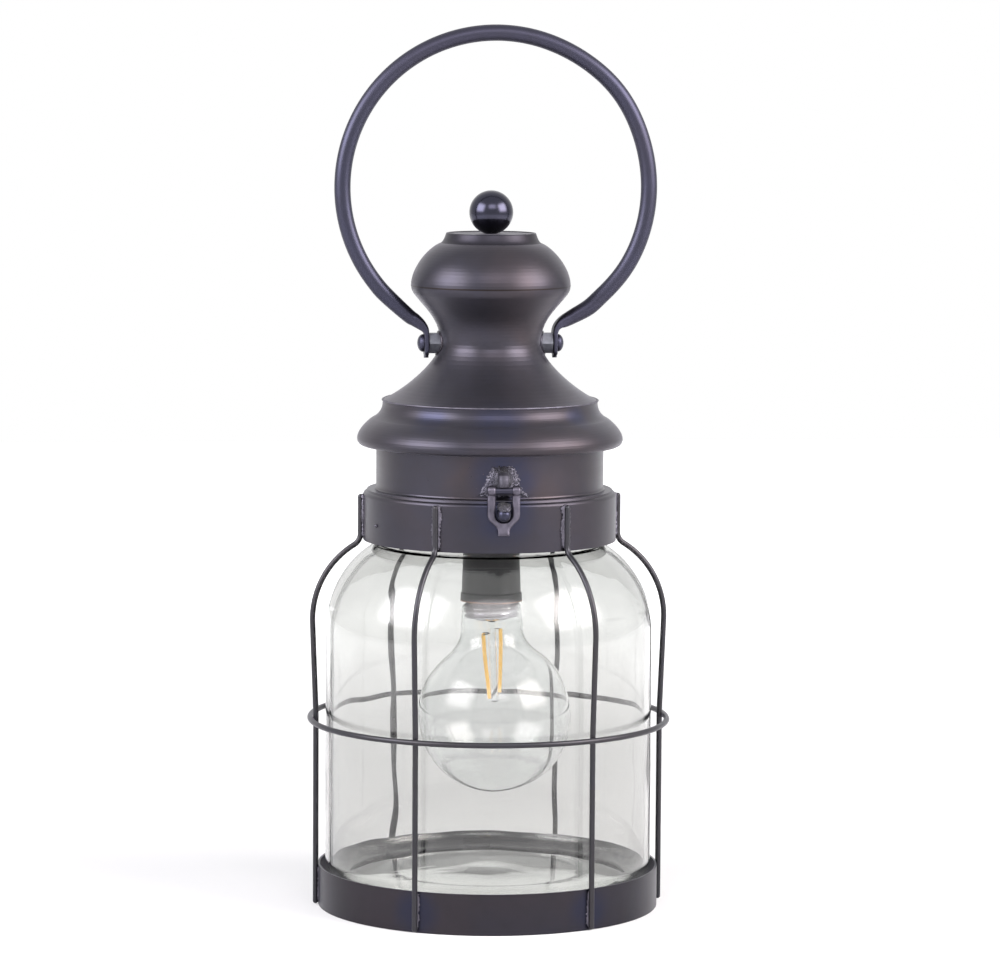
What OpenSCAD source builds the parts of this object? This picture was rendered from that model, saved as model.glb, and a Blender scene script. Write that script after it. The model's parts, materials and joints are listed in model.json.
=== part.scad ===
// Lantern table lamp: a glass jar in a wire cage, under a spun roof that hinges open.
// Millimetres. +Z is up, the latch faces -Y, and the origin is the centre of the foot.

/* [Jar] */
// Outside radius of the jar's body
jar_r = 101; // [85:1:120]
// Thickness of the glass
jar_wall = 3.5; // [2.5:0.1:5]
// Height of the jar's foot above the table
jar_z = 14.5; // [10:0.5:22]
// Straight height of the jar, from its foot to the start of its shoulder
jar_body_h = 157.5; // [110:0.5:190]
// Radius of the shoulder's curve, seen from the side
shoulder_r = 61; // [54:1:66]
// Outside radius of the jar's neck
neck_r = 66; // [60:1:69]
// Height of the straight neck
neck_h = 9; // [6:0.5:10]

/* [Foot] */
// Height of the foot ring
foot_h = 25; // [20:0.5:40]
// Free space between the jar and the foot ring
foot_gap = 3.2; // [2.6:0.1:8]
// Thickness of the sheet metal
sheet = 1.2; // [0.9:0.1:1.6]
// Number of brackets under the jar
bracket_count = 3; // [3:1:4]

/* [Cage] */
// Diameter of the cage wire
wire_d = 3.4; // [2.6:0.1:4.4]
// How far the wires bulge outside the foot at the jar's shoulder
wire_bulge = 2.2; // [1:0.1:4]
// Radius of the wires' curve over the shoulder
wire_shoulder_r = 54; // [50:1:58]
// Radius of the bend at the lower collar
wire_bend_r = 8; // [6:0.5:10]
// Height of the guard hoop
hoop_z = 116.3; // [60:0.5:125]
// Diameter of the guard hoop's wire
hoop_d = 3.4; // [2.6:0.1:4.4]

/* [Collars] */
// Outside radius of the lower collar
collar_r = 78.1; // [75:0.1:84]
// Height of the lower collar
collar_h = 31.1; // [29:0.1:38]
// Outside radius of the upper collar
throat_r = 70.1; // [67:0.1:72]
// Height of the upper collar
throat_h = 26.9; // [24:0.1:36]

/* [Roof] */
// Radius of the brim
brim_r = 81.9; // [80:0.1:90]
// Radius of the crest line above the brim
crest_r = 66.2; // [62:0.2:69]
// Height from the brim's underside to the crest line
crest_h = 27.8; // [24:0.1:34]
// Radius of the chimney's waist
waist_r = 31; // [27:0.5:35]
// Height from the crest line to the waist
waist_h = 35.3; // [30:0.1:44]
// Radius of the chimney's ridge
ridge_r = 49.1; // [44:0.1:56]
// Height from the waist to the ridge
ridge_h = 34.8; // [30:0.1:44]
// Height from the ridge to the button cap
dome_h = 26.5; // [22:0.5:34]
// Radius of the button cap
button_r = 28.9; // [24:0.1:32]
// Height of the button cap
button_h = 6.2; // [4:0.2:8]
// Radius of the finial ball
ball_r = 13.5; // [10:0.1:16]

/* [Handle] */
// Diameter of the handle's rod
grip_d = 10; // [8:0.5:12]
// Radius of the ring, to the middle of the rod
grip_r = 94.5; // [90:0.5:104]
// Height of the ring's centre above the pivots
grip_rise = 95.5; // [90:0.5:105]
// Sideways offset of the hand-bent ring
grip_shift = 3; // [0:0.2:3]
// Thickness of the flattened ends
tab_t = 3; // [2.4:0.2:4]
// Width of the flattened ends
tab_w = 14; // [12.4:0.2:16]
// Radius of the pivot bolts
bolt_r = 3.9; // [3:0.1:4.5]
// Width across the flats of the weld nuts
nut_af = 12.2; // [10.5:0.1:14]

/* [Latch] */
// Inside width of the hasp's loop
loop_w = 10; // [9:0.2:13]
// Width of the hasp's legs
leg_w = 4.9; // [4:0.1:6]
// Thickness of the hasp
loop_t = 3; // [2.4:0.1:3.6]
// Length from the hasp's pin to the inside of its arc
loop_reach = 19; // [18:0.1:24]
// Radius of the stud's ball
stud_ball_r = 4; // [3:0.1:4.2]
// Radius of the hasp's pin
hasp_pin_r = 2.2; // [1.6:0.05:2.4]

/* [Hinge] */
// Width of the hinge
hinge_w = 32; // [24:1:40]
// Radius of the hinge's knuckles
knuckle_r = 2.9; // [2.5:0.1:3.4]
// Radius of the hinge's pin
hinge_pin_r = 1.5; // [1.2:0.1:1.8]
// Thickness of the hinge's leaves
leaf_t = 1.5; // [1.2:0.1:2]

/* [Light] */
// Sideways offset of the lampholder
hang_x = 1.3; // [0:0.1:5]
// How far the bulb leans in its holder, in degrees
bulb_lean = 2.1; // [0:0.1:2.5]
// Radius of the bulb's globe
globe_r = 47.5; // [40:0.5:50]
// Depth of the globe's centre below the lampholder's mouth
globe_drop = 71.8; // [66:0.2:76]
// Length of the lampholder's sleeve
sleeve_h = 45.7; // [42:0.1:54]
// Radius of the lampholder's sleeve at its mouth
sleeve_r = 18.9; // [18:0.1:21]
// Radius of the hole for the cable
cable_r = 3.5; // [2.5:0.1:4]

/* [Hidden] */
$fn = 96;

metal = [0.25, 0.245, 0.27];
glass = [0.82, 0.88, 0.9, 0.35];
steel = [0.55, 0.55, 0.58];
brass = [0.72, 0.53, 0.24];
black = [0.12, 0.12, 0.13];
ceramic = [0.9, 0.89, 0.86];
amber = [0.95, 0.7, 0.3];

// Clearances
slip = 0.05;     // a pin in its bore
seat_gap = 0.3;  // the lid above the lower collar
lay_gap = 0.05;  // the jar above its brackets
side_play = 0.1; // the handle's ends between bolt and nut
touch = 0.02;    // the hoop outside the wires

wire_r = wire_d / 2;
hoop_wire_r = hoop_d / 2;
foot_r = jar_r + foot_gap + sheet;
wall_in = collar_r - sheet;

// Jar
heel_r = 15;
push_up = 4;
stand_r = jar_r - heel_r;
shoulder_z = jar_z + jar_body_h;
shoulder_c = [jar_r - shoulder_r, shoulder_z];
neck_fillet = 8;
neck_x = neck_r + neck_fillet;
neck_c = [neck_x, shoulder_z + sqrt(pow(shoulder_r + neck_fillet, 2) - pow(neck_x - shoulder_c[0], 2))];
neck_angle = atan2(neck_c[1] - shoulder_c[1], neck_c[0] - shoulder_c[0]);
lip_z = neck_c[1] + neck_h;
lip_r = 1.6;

// Heights of the stack
collar_lap = 4.4;
collar_z = neck_c[1] - collar_lap;
seam_z = collar_z + collar_h;
throat_z = seam_z + seat_gap;
brim_z = throat_z + throat_h;
crest_z = brim_z + crest_h;
waist_z = crest_z + waist_h;
ridge_z = waist_z + ridge_h;
button_z = ridge_z + dome_h;
button_top = button_z + button_h;
ball_seat_r = 3.4;
seat_z = button_top - 0.5;
ball_z = seat_z + sqrt(pow(ball_r, 2) - pow(ball_seat_r, 2));

// Lower collar's shoulder
collar_round = 2.6;
step_in = 2.5;
step_h = 1.1;
mouth_r = throat_r - 1.6;

// Wires
wire_foot_r = foot_r + wire_r;
wire_top_r = collar_r + wire_r;
wire_high_z = seam_z - 2.9;
wire_low_z = 0.4;
wire_c = [wire_foot_r + wire_bulge - wire_shoulder_r, shoulder_z + 6.5];
kink_r = 200;
kink_c = [wire_foot_r + kink_r, hoop_z - 1];
lean = atan2(wire_c[1] - kink_c[1], kink_c[0] - wire_c[0])
    - acos((wire_shoulder_r + kink_r) / norm(kink_c - wire_c));
bend_x = wire_top_r + wire_bend_r;
bend_c = [bend_x, wire_c[1] + sqrt(pow(wire_shoulder_r + wire_bend_r, 2) - pow(bend_x - wire_c[0], 2))];
bend_angle = atan2(bend_c[1] - wire_c[1], bend_c[0] - wire_c[0]);
hoop_r = wire_foot_r + wire_r + hoop_wire_r + touch;

// Brackets
bracket_t = 1.2;
bracket_in = 19.5;
bracket_up = 4.5;
bracket_w = 18;
bracket_turn = -2;
bracket_top = jar_z - lay_gap;

// Handle
tab_in = waist_r + 7.2;
tab_out = tab_in + tab_t;
tab_end_r = 9.1;
pivot_z = waist_z - 0.2;
grip_z = pivot_z + grip_rise;
grip_end = tab_in + tab_t / 2 + 13;
// Where the rod is beaten flat: out from the tab's middle, up from the pivot, thickness, width, slope
necks = [[5.8, 13.4, 7.8, 10.6, 37], [2.1, 10.4, 5.8, 11.8, 52]];
swell = 0.06;
tab_top = 7.4;
head_r = 5.45;
head_h = 3.9;
nut_h_in = 4;

// Latch
pin_y = -(collar_r + 4.1);
pin_z = seam_z + 7.2;
arc_r = loop_w / 2;
loop_outer_r = arc_r + leg_w;
arc_z = pin_z - loop_reach + arc_r;
eye_r = hasp_pin_r + 1.2;
stud_z = arc_z - 0.3;
stud_y = pin_y - 2.4;
stud_neck_r = 2.4;
stud_base_r = 4.4;
tongue_w = 7.2;
tongue_l = 4.6;
knuckle_w = loop_w - 3.8;
knuckle_top = 10.6;
knuckle_back = hasp_pin_r - 0.6;
knuckle_front = hasp_pin_r + 0.8;
knuckle_foot = 2.4;

// Hinge
hinge_y = collar_r + knuckle_r + 0.4;
hinge_z = seam_z + 0.9;
leaf_h = 10.4;
upper_leaf_h = 16;
knuckle_gap = 0.3;

// Cable inlet
inlet_z = collar_z + 8.6;
inlet_hole_r = 5;
inlet_flange_r = 6.6;
inlet_l = 5.2;

// Lampholder and bulb
bridge_t = 2;
bridge_w = 20;
bridge_z = lip_z + lip_r + 4.4;
bridge_flange = 8;
holder_top = bridge_z;
cap_h = 12;
mouth_z = holder_top - cap_h - sleeve_h;
tube_r = 5;
tube_bore = 3.5;
sleeve_wall = 1.6;
sleeve_in = sleeve_r - 1.7 - sleeve_wall;
insulator_r = sleeve_in - 0.1;
shell_r = 13.35;
shell_t = 0.5;
cap_r = shell_r - 0.15;
cap_z = mouth_z + 0.6;
cap_len = 16;
globe_z = mouth_z - globe_drop;
globe_wall = 0.8;
bulb_neck_r = 19;
bulb_neck_z = mouth_z - 14;
bulb_neck_top = mouth_z - 4;
bulb_seat_r = cap_r - 1.1;
filament_r = 1.1;
filament_top = [7.4, globe_z + 50];
filament_low = [4.6, globe_z + 11];
filament_stagger = 3.8;
stem_r = 2.1;
stem_low = filament_low[1] - 3.4;
stem_top = filament_top[1] + filament_stagger + 4;

// Points of a cubic curve from a to d, steered by b and c
function curve(a, b, c, d, n = 16) =
    [for (i = [0:n]) let (t = i / n, u = 1 - t) u*u*u * a + 3*u*u*t * b + 3*u*t*t * c + t*t*t * d];

// Point on a circle, and points along an arc
function on_circle(centre, r, angle) = centre + r * [cos(angle), sin(angle)];
function arc(centre, r, from, to, n = 12) =
    [for (i = [0:n]) on_circle(centre, r, from + (to - from) * i / n)];

// Unit normal to the left of the line from p to q
function left(p, q) = [p[1] - q[1], q[0] - p[0]] / norm(q - p);

// A path moved to its left by t, with mitred corners
function shifted(path, t) =
    [for (i = [0:len(path) - 1])
        let (before = left(path[max(i - 1, 0)], path[max(i, 1)]),
             after = left(path[min(i, len(path) - 2)], path[min(i + 1, len(path) - 1)]),
             middle = before + after)
        path[i] + middle * 2 * t / (middle * middle)];

function backwards(path) = [for (i = [len(path) - 1:-1:0]) path[i]];

// A path without repeated points
function tidy(path) =
    [for (i = [0:len(path) - 1]) if (i == 0 || norm(path[i] - path[max(i - 1, 0)]) > 0.01) path[i]];

// A spun piece: an outline from below to above, with its wall on the inside
module spun(outline, wall) {
    path = tidy(outline);
    rotate_extrude()
        polygon(concat(path, [for (p = backwards(shifted(path, wall))) [max(p[0], 0), p[1]]]));
}

module spun_between(outer, inner) {
    rotate_extrude()
        polygon(concat(tidy(outer), backwards(tidy(inner))));
}

// A straight or a bent length of wire in the plane of X and Z
module rod(from, to, r) {
    way = to - from;
    translate([from[0], 0, from[1]])
        rotate([0, atan2(way[0], way[1]), 0])
            cylinder(r = r, h = norm(way), $fn = 32);
}

module bend(centre, radius, from, to, r) {
    translate([centre[0], 0, centre[1]])
        rotate([90, -from, 0])
            rotate_extrude(angle = to - from)
                translate([radius, 0])
                    circle(r = r, $fn = 32);
}

// A straight length of wire along Z from [x, z], with a rounded far end
module round_end(at, h, r, up = false) {
    translate([at[0], 0, at[1]])
        mirror([0, 0, up ? 0 : 1])
            rotate_extrude($fn = 32)
                polygon(concat([[0, 0], [r, 0]], arc([0, h - r], r, 0, 90, 6)));
}

// ---- Foot and jar ----

module base_ring() {
    color(metal)
        rotate_extrude()
            translate([foot_r - sheet, 0])
                square([sheet, foot_h]);
}

module jar_bracket(i) {
    half = asin(bracket_w / 2 / (foot_r - sheet));
    color(metal)
        rotate([0, 0, 90 + bracket_turn + 360 / bracket_count * (i - 1) - half])
            rotate_extrude(angle = 2 * half)
                translate([foot_r - sheet, bracket_top])
                    polygon([[0, -bracket_t], [0, bracket_up], [-bracket_t, bracket_up], [-bracket_t, 0],
                             [-bracket_in, 0], [-bracket_in, -bracket_t]]);
}

function jar_outline() = concat(
    curve([0, jar_z + push_up], [stand_r / 2, jar_z + push_up], [stand_r * 0.8, jar_z + push_up],
          [stand_r - 6, jar_z + 0.8], 10),
    arc([stand_r, jar_z + heel_r], heel_r, -90, 0, 10),
    arc(shoulder_c, shoulder_r, 0, neck_angle, 20),
    backwards(arc(neck_c, neck_fillet, 180, 180 + neck_angle, 8)),
    arc([neck_r, lip_z], lip_r, -90, 90, 8)
);

function jar_hollow() = concat(
    [[0, jar_z + push_up + jar_wall], [stand_r * 0.7, jar_z + push_up + jar_wall - 0.6]],
    arc([stand_r, jar_z + heel_r], heel_r - jar_wall, -90, 0, 10),
    arc(shoulder_c, shoulder_r - jar_wall, 0, neck_angle, 20),
    backwards(arc(neck_c, neck_fillet + jar_wall, 180, 180 + neck_angle, 8)),
    [[neck_r - jar_wall, lip_z + lip_r]]
);

module glass_jar() {
    color(glass)
        rotate_extrude()
            polygon(concat(jar_outline(), backwards(jar_hollow())));
}

// ---- Cage ----

// Inside the wire where two lengths meet, so that they stay one piece at any size
module core(at, angle) {
    half = 1.2 * [cos(angle), sin(angle)];
    rod(at - half, at + half, wire_r * 0.7);
}

module cage_wire(i) {
    kink_end = kink_c + kink_r * [-cos(lean), sin(lean)];
    shoulder = on_circle(wire_c, wire_shoulder_r, -lean);
    color(metal)
        rotate([0, 0, -60 + 60 * (i - 1)])
            union() {
                round_end([wire_foot_r, kink_c[1]], kink_c[1] - wire_low_z, wire_r);
                bend(kink_c, kink_r, 180 - lean, 180, wire_r);
                rod(kink_end, shoulder, wire_r);
                bend(wire_c, wire_shoulder_r, -lean, bend_angle, wire_r);
                bend(bend_c, wire_bend_r, 180, 180 + bend_angle, wire_r);
                round_end([wire_top_r, bend_c[1]], wire_high_z - bend_c[1], wire_r, up = true);
                core([wire_foot_r, kink_c[1]], 90);
                core(kink_end, 90 + lean);
                core(shoulder, 90 + lean);
                core(on_circle(wire_c, wire_shoulder_r, bend_angle), 90 + bend_angle);
                core([wire_top_r, bend_c[1]], 90);
            }
}

module guard_hoop() {
    color(metal)
        translate([0, 0, hoop_z])
            rotate_extrude()
                translate([hoop_r, 0])
                    circle(r = hoop_wire_r, $fn = 32);
}

// ---- Lower collar ----

module lower_collar() {
    color(metal)
        difference() {
            spun(concat(
                [[collar_r, collar_z]],
                arc([collar_r - collar_round, seam_z - step_h - collar_round], collar_round, 0, 74, 8),
                [[collar_r - step_in, seam_z], [mouth_r, seam_z]]
            ), sheet);
            translate([0, wall_in - 2, inlet_z])
                rotate([-90, 0, 0])
                    cylinder(r = inlet_hole_r, h = sheet + 4);
        }
}

module cable_grommet() {
    color(black)
        difference() {
            translate([0, collar_r + 2 - inlet_l, inlet_z])
                rotate([-90, 0, 0])
                    cylinder(r = inlet_flange_r, h = inlet_l);
            translate([0, collar_r - inlet_l, inlet_z])
                rotate([-90, 0, 0])
                    cylinder(r = cable_r, h = 2 * inlet_l);
            difference() {
                translate([0, 0, collar_z])
                    cylinder(r = collar_r, h = collar_h / 2 + inlet_hole_r);
                translate([0, 0, collar_z - 1])
                    cylinder(r = wall_in, h = collar_h);
                translate([0, wall_in - 4, inlet_z])
                    rotate([-90, 0, 0])
                        cylinder(r = inlet_hole_r, h = sheet + 8);
            }
        }
}

module latch_stud() {
    color(metal)
        difference() {
            union() {
                translate([0, stud_y, stud_z])
                    sphere(r = stud_ball_r, $fn = 48);
                translate([0, stud_y, stud_z])
                    rotate([-90, 0, 0])
                        cylinder(r = stud_neck_r, h = -stud_y - collar_r + 3);
                translate([0, -collar_r - 0.8, stud_z])
                    rotate([-90, 0, 0])
                        cylinder(r = stud_base_r, h = 2);
            }
            translate([0, 0, collar_z])
                cylinder(r = collar_r, h = collar_h);
        }
}

// ---- Hinge at the back ----

module knuckles(from, to, bore) {
    translate([from, hinge_y, hinge_z])
        rotate([0, 90, 0])
            difference() {
                cylinder(r = knuckle_r, h = to - from);
                translate([0, 0, -1])
                    cylinder(r = bore, h = to - from + 2);
            }
}

module across_hinge(from, to) {
    intersection() {
        children();
        translate([from, 0, collar_z])
            cube([to - from, collar_r + 20, collar_h + throat_h]);
    }
}

module hinge_lower_leaf() {
    leaf_z = seam_z - collar_round - step_h - leaf_h;
    third = hinge_w / 6;
    half = asin(hinge_w / 2 / collar_r) - 1;
    color(metal)
        difference() {
            union() {
                rotate([0, 0, 90 - half])
                    rotate_extrude(angle = 2 * half)
                        translate([collar_r, leaf_z])
                            square([leaf_t, leaf_h]);
                for (side = [-1, 1])
                    across_hinge(side < 0 ? -3 * third : third + knuckle_gap,
                                 side < 0 ? -third - knuckle_gap : 3 * third)
                        union() {
                            translate([0, 0, leaf_z])
                                difference() {
                                    cylinder(r = collar_r + leaf_t, h = hinge_z - leaf_z);
                                    translate([0, 0, -1])
                                        cylinder(r = collar_r, h = 2 * leaf_h);
                                }
                            translate([-hinge_w, hinge_y, hinge_z])
                                rotate([0, 90, 0])
                                    cylinder(r = knuckle_r, h = 2 * hinge_w);
                        }
            }
            translate([-hinge_w, hinge_y, hinge_z])
                rotate([0, 90, 0])
                    cylinder(r = hinge_pin_r, h = 2 * hinge_w);
            translate([0, 0, collar_z])
                cylinder(r = collar_r, h = collar_h - collar_round - step_h);
        }
}

module hinge_upper_leaf() {
    third = hinge_w / 6;
    half = asin(hinge_w / 2 / throat_r);
    web_z = hinge_z + knuckle_r - leaf_t;
    color(metal)
        difference() {
            union() {
                rotate([0, 0, 90 - half])
                    rotate_extrude(angle = 2 * half)
                        translate([throat_r, web_z])
                            square([leaf_t, upper_leaf_h]);
                translate([-third, throat_r - 2, web_z])
                    cube([2 * third, hinge_y - throat_r + 2, leaf_t]);
                knuckles(-third, third, hinge_pin_r + slip);
            }
            translate([0, 0, seam_z])
                cylinder(r = throat_r, h = throat_h);
            translate([-hinge_w, hinge_y, hinge_z])
                rotate([0, 90, 0])
                    cylinder(r = hinge_pin_r + slip, h = 2 * hinge_w);
        }
}

module hinge_pin() {
    color(steel)
        translate([-hinge_w / 2 - 0.6, hinge_y, hinge_z])
            rotate([0, 90, 0])
                cylinder(r = hinge_pin_r, h = hinge_w + 1.2);
}

// ---- Lampholder ----

module lamp_bridge() {
    half = asin(bridge_w / 2 / wall_in) + 1.5;
    color(metal)
        difference() {
            union() {
                translate([0, 0, bridge_z])
                    linear_extrude(bridge_t)
                        intersection() {
                            circle(r = wall_in - bridge_t / 2);
                            square([2 * collar_r, bridge_w], center = true);
                        }
                for (turn = [0, 180])
                    rotate([0, 0, turn - half])
                        rotate_extrude(angle = 2 * half)
                            translate([wall_in - bridge_t, bridge_z + bridge_t - bridge_flange])
                                square([bridge_t, bridge_flange]);
            }
            translate([hang_x, 0, bridge_z - 1])
                cylinder(r = tube_r + slip, h = bridge_t + 2);
        }
}

module hung() {
    translate([hang_x, 0, 0])
        children();
}

module leaning() {
    translate([hang_x, 0, cap_z])
        rotate([0, -bulb_lean, 0])
            translate([0, 0, -cap_z])
                children();
}

module threaded_tube() {
    color(steel)
        hung()
            translate([0, 0, bridge_z - 8])
                difference() {
                    cylinder(r = tube_r, h = bridge_t + 14.5);
                    translate([0, 0, -1])
                        cylinder(r = tube_bore, h = bridge_t + 17);
                }
}

module hex_nut(af, h, bore) {
    difference() {
        cylinder(r = af / 2 / cos(30), h = h, $fn = 6);
        translate([0, 0, -1])
            cylinder(r = bore, h = h + 2);
    }
}

module lock_nut() {
    color(steel)
        hung()
            translate([0, 0, bridge_z + bridge_t])
                hex_nut(14, 3.5, tube_r);
}

module holder_cap() {
    spigot_r = sleeve_in - 0.1;
    low = holder_top - cap_h;
    color(black)
        hung()
            difference() {
                rotate_extrude()
                    polygon(concat(
                        [[spigot_r - sleeve_wall, low - 3], [spigot_r, low - 3], [spigot_r, low]],
                        curve([sleeve_r - 1.7, low], [sleeve_r - 1.7, low + 5],
                              [8.5, low + 5], [8.5, low + 9], 12),
                        [[8.5, holder_top], [0, holder_top], [0, holder_top - 5]],
                        curve([3, holder_top - 5.6], [9, low + 6], [spigot_r - sleeve_wall, low + 4],
                              [spigot_r - sleeve_wall, low], 8)
                    ));
                translate([0, 0, low])
                    cylinder(r = tube_r, h = cap_h + 1);
            }
}

module holder_sleeve() {
    top = holder_top - cap_h;
    narrow = sleeve_r - 1.7;
    color(black)
        hung()
            rotate_extrude()
                polygon(concat(
                    [[sleeve_in, mouth_z], [sleeve_r - 0.5, mouth_z], [sleeve_r, mouth_z + 0.6],
                     [sleeve_r, mouth_z + 5], [sleeve_r - 0.7, mouth_z + 6]],
                    curve([sleeve_r - 0.7, mouth_z + 6], [sleeve_r - 0.7, mouth_z + 20],
                          [narrow, top - 22], [narrow, top], 8),
                    [[sleeve_in, top]]
                ));
}

module holder_insulator() {
    color(ceramic)
        hung()
            rotate_extrude()
                polygon([[shell_r + shell_t, mouth_z + 3.2], [insulator_r, mouth_z + 3.2],
                         [insulator_r, mouth_z + 36], [0, mouth_z + 36], [0, mouth_z + 29],
                         [shell_r + shell_t, mouth_z + 29]]);
}

module brass_screw_shell() {
    color(brass)
        hung()
            rotate_extrude()
                polygon([[shell_r, mouth_z + 1.6], [insulator_r, mouth_z + 1.6],
                         [insulator_r, mouth_z + 2.4], [shell_r + shell_t, mouth_z + 3.2],
                         [shell_r + shell_t, mouth_z + 26], [shell_r, mouth_z + 26]]);
}

module centre_contact() {
    tip = cap_z + cap_len + 6;
    top = mouth_z + 29;
    color(brass)
        hung()
            translate([0, 2.5, 0])
                rotate([90, 0, 0])
                    linear_extrude(5)
                        polygon([[-7, top], [-7, top - 0.8], [-4, top - 0.8], [-2, tip + 0.6], [3, tip],
                                 [3, tip + 0.8], [-1.5, tip + 1.4], [-3, top]]);
}

// ---- Bulb ----

module bulb_cap() {
    color(steel)
        hung()
            spun(concat(
                [[cap_r, cap_z], [cap_r, cap_z + cap_len - 1]],
                curve([cap_r, cap_z + cap_len], [cap_r, cap_z + cap_len + 1.2], [11, cap_z + cap_len + 2],
                      [9.2, cap_z + cap_len + 2.2], 4)
            ), 0.5);
}

module bulb_cap_insulator() {
    color(black)
        hung()
            rotate_extrude()
                polygon([[0, cap_z + cap_len + 1.2], [9.2, cap_z + cap_len + 2.2],
                         [5, cap_z + cap_len + 4.5], [0, cap_z + cap_len + 4.5]]);
}

module bulb_contact() {
    color(steel)
        hung()
            translate([0, 0, cap_z + cap_len + 4.5])
                rotate_extrude()
                    polygon([[0, 0], [4.8, 0], [4.6, 0.6], [2.4, 1.3], [0, 1.5]]);
}

module bulb_glass() {
    merge = 52;
    shoulder = on_circle([0, globe_z], globe_r, merge);
    mouth = [bulb_neck_r - 0.9, bulb_neck_top];
    color(glass)
        leaning()
            spun(concat(
                arc([0, globe_z], globe_r, -90, merge, 36),
                curve(shoulder, shoulder + 7 * [-sin(merge), cos(merge)],
                      [bulb_neck_r + 0.2, bulb_neck_z - 11], [bulb_neck_r, bulb_neck_z], 10),
                curve(mouth, mouth + [0, 2.4], [bulb_seat_r + 1.4, cap_z - 0.6],
                      [bulb_seat_r, cap_z - 0.3], 6),
                [[bulb_seat_r, cap_z + 6]]
            ), globe_wall);
}

module bulb_stem() {
    foot_r = bulb_seat_r - globe_wall;
    color(glass)
        leaning()
            rotate_extrude()
                polygon(concat(
                    [[0, stem_low], [stem_r, stem_low + 1], [stem_r, stem_top]],
                    curve([stem_r, stem_top + 0.5], [stem_r + 1.5, stem_top + 4], [4.6, cap_z - 5],
                          [foot_r, cap_z + 3], 8),
                    [[foot_r, cap_z + 5], [0, cap_z + 5]]
                ));
}

// Four filaments round the stem; the two on one side hang higher
module around_stem() {
    for (turn = [39 : 90 : 309])
        translate([0, 0, cos(turn) > 0 ? filament_stagger : 0])
            rotate([0, 0, turn])
                children();
}

module bulb_filaments() {
    color(amber)
        leaning()
            around_stem()
                rod(filament_low, filament_top, filament_r);
}

module filament_supports() {
    support_r = 0.35;
    along = (filament_top - filament_low) / norm(filament_top - filament_low);
    tip_gap = 0.02;
    past = (support_r + tip_gap) * along;
    color(steel)
        leaning()
            around_stem()
                for (end = [filament_top + past, filament_low - past])
                    let (reach = (end[0] - stem_r - 0.05) / along[1])
                        rod(end + reach * [-along[1], along[0]], end, support_r);
}

// ---- Roof ----

module upper_collar() {
    hem = 0.9;
    color(metal)
        spun_between(
            concat(curve([throat_r + hem, throat_z], [throat_r + 0.4, throat_z + 0.3],
                         [throat_r, throat_z + 0.8], [throat_r, throat_z + 1.7], 5),
                   [[throat_r, brim_z]]),
            [[throat_r - sheet, throat_z], [throat_r - sheet, brim_z]]
        );
}

module roof_brim() {
    low = [brim_r, brim_z + 4.1];
    dip = [crest_r + 6.6, crest_z - 11.4];
    crest = [crest_r, crest_z - 1.4];
    color(metal)
        spun(concat(
            [[throat_r - sheet, brim_z]],
            curve([brim_r - 3.6, brim_z], [brim_r - 1.2, brim_z + 0.3], low - [0, 2.2], low, 6),
            curve(low, low + [0, 4.8], dip + [2.6, -1.6], dip, 10),
            curve(dip, dip + [-3.6, 1.7], crest - [0, 5], crest, 10),
            [[crest_r, crest_z]]
        ), sheet);
}

cone_foot = [crest_r - 1.2, crest_z + 0.4];
waist = [waist_r, waist_z];
flare = [ridge_r - 1.9, ridge_z - 4.9];
function cone_outline() = concat(
    curve(cone_foot, cone_foot + [-12.8, 6], waist - [0, 10.6], waist),
    curve(waist, waist + [0, 13.7], flare - [7.5, 9.6], flare),
    curve(flare, flare + [0.9, 1.2], [ridge_r - 0.15, ridge_z - 1.9], [ridge_r - 0.15, ridge_z - 0.4], 5),
    [[ridge_r - 0.15, ridge_z]]
);

module chimney_cone() {
    inside = shifted(tidy(cone_outline()), sheet);
    spigot_r = crest_r - sheet;
    color(metal)
        difference() {
            spun_between(
                concat([[spigot_r, crest_z - 4], [spigot_r, crest_z], [crest_r + 0.15, crest_z],
                        [crest_r + 0.15, crest_z + 0.4]], cone_outline()),
                concat([[spigot_r - sheet, crest_z - 4]], [for (p = inside) if (p[0] < spigot_r - sheet) p])
            );
            for (side = [-1, 1])
                translate([side * (waist_r - 5), 0, pivot_z])
                    rotate([0, side * 90, 0])
                        cylinder(r = bolt_r + slip, h = 12);
        }
}

module chimney_dome() {
    low = [ridge_r, ridge_z + 0.4];
    top = [button_r + 2, button_z];
    color(metal)
        spun(concat(
            [[ridge_r, ridge_z]],
            curve(low, low + [0, 11], top + [7.4, -2.7], top),
            [[button_r - 4, button_z]]
        ), sheet);
}

module button_cap() {
    bore = ball_seat_r - 0.4 + slip;
    color(metal)
        spun_between(
            concat(
                curve([button_r + 1.9, button_z], [button_r + 0.6, button_z + 1],
                      [button_r - 0.2, button_z + 2.6], [button_r - 1.2, button_top - 0.5], 8),
                [[button_r - 1.5, button_top], [button_r - 2.2, button_top], [button_r - 2.7, seat_z],
                 [bore, seat_z]]),
            [[button_r - sheet, button_z], [button_r - sheet - 1, seat_z - sheet], [bore, seat_z - sheet]]
        );
}

module finial() {
    screw_r = ball_seat_r - 0.4;
    color(metal)
        union() {
            difference() {
                translate([0, 0, ball_z])
                    sphere(r = ball_r);
                translate([0, 0, seat_z - ball_r])
                    cylinder(r = ball_r, h = ball_r);
            }
            translate([0, 0, seat_z - 10])
                cylinder(r = screw_r, h = 14);
        }
}

module finial_nut() {
    color(steel)
        translate([0, 0, seat_z - sheet - 5])
            hex_nut(10, 5, ball_seat_r - 0.4);
}

// ---- Handle ----

module at_pivots() {
    for (side = [-1, 1])
        translate([0, 0, pivot_z])
            rotate([0, side * 90, 0])
                children();
}

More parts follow.
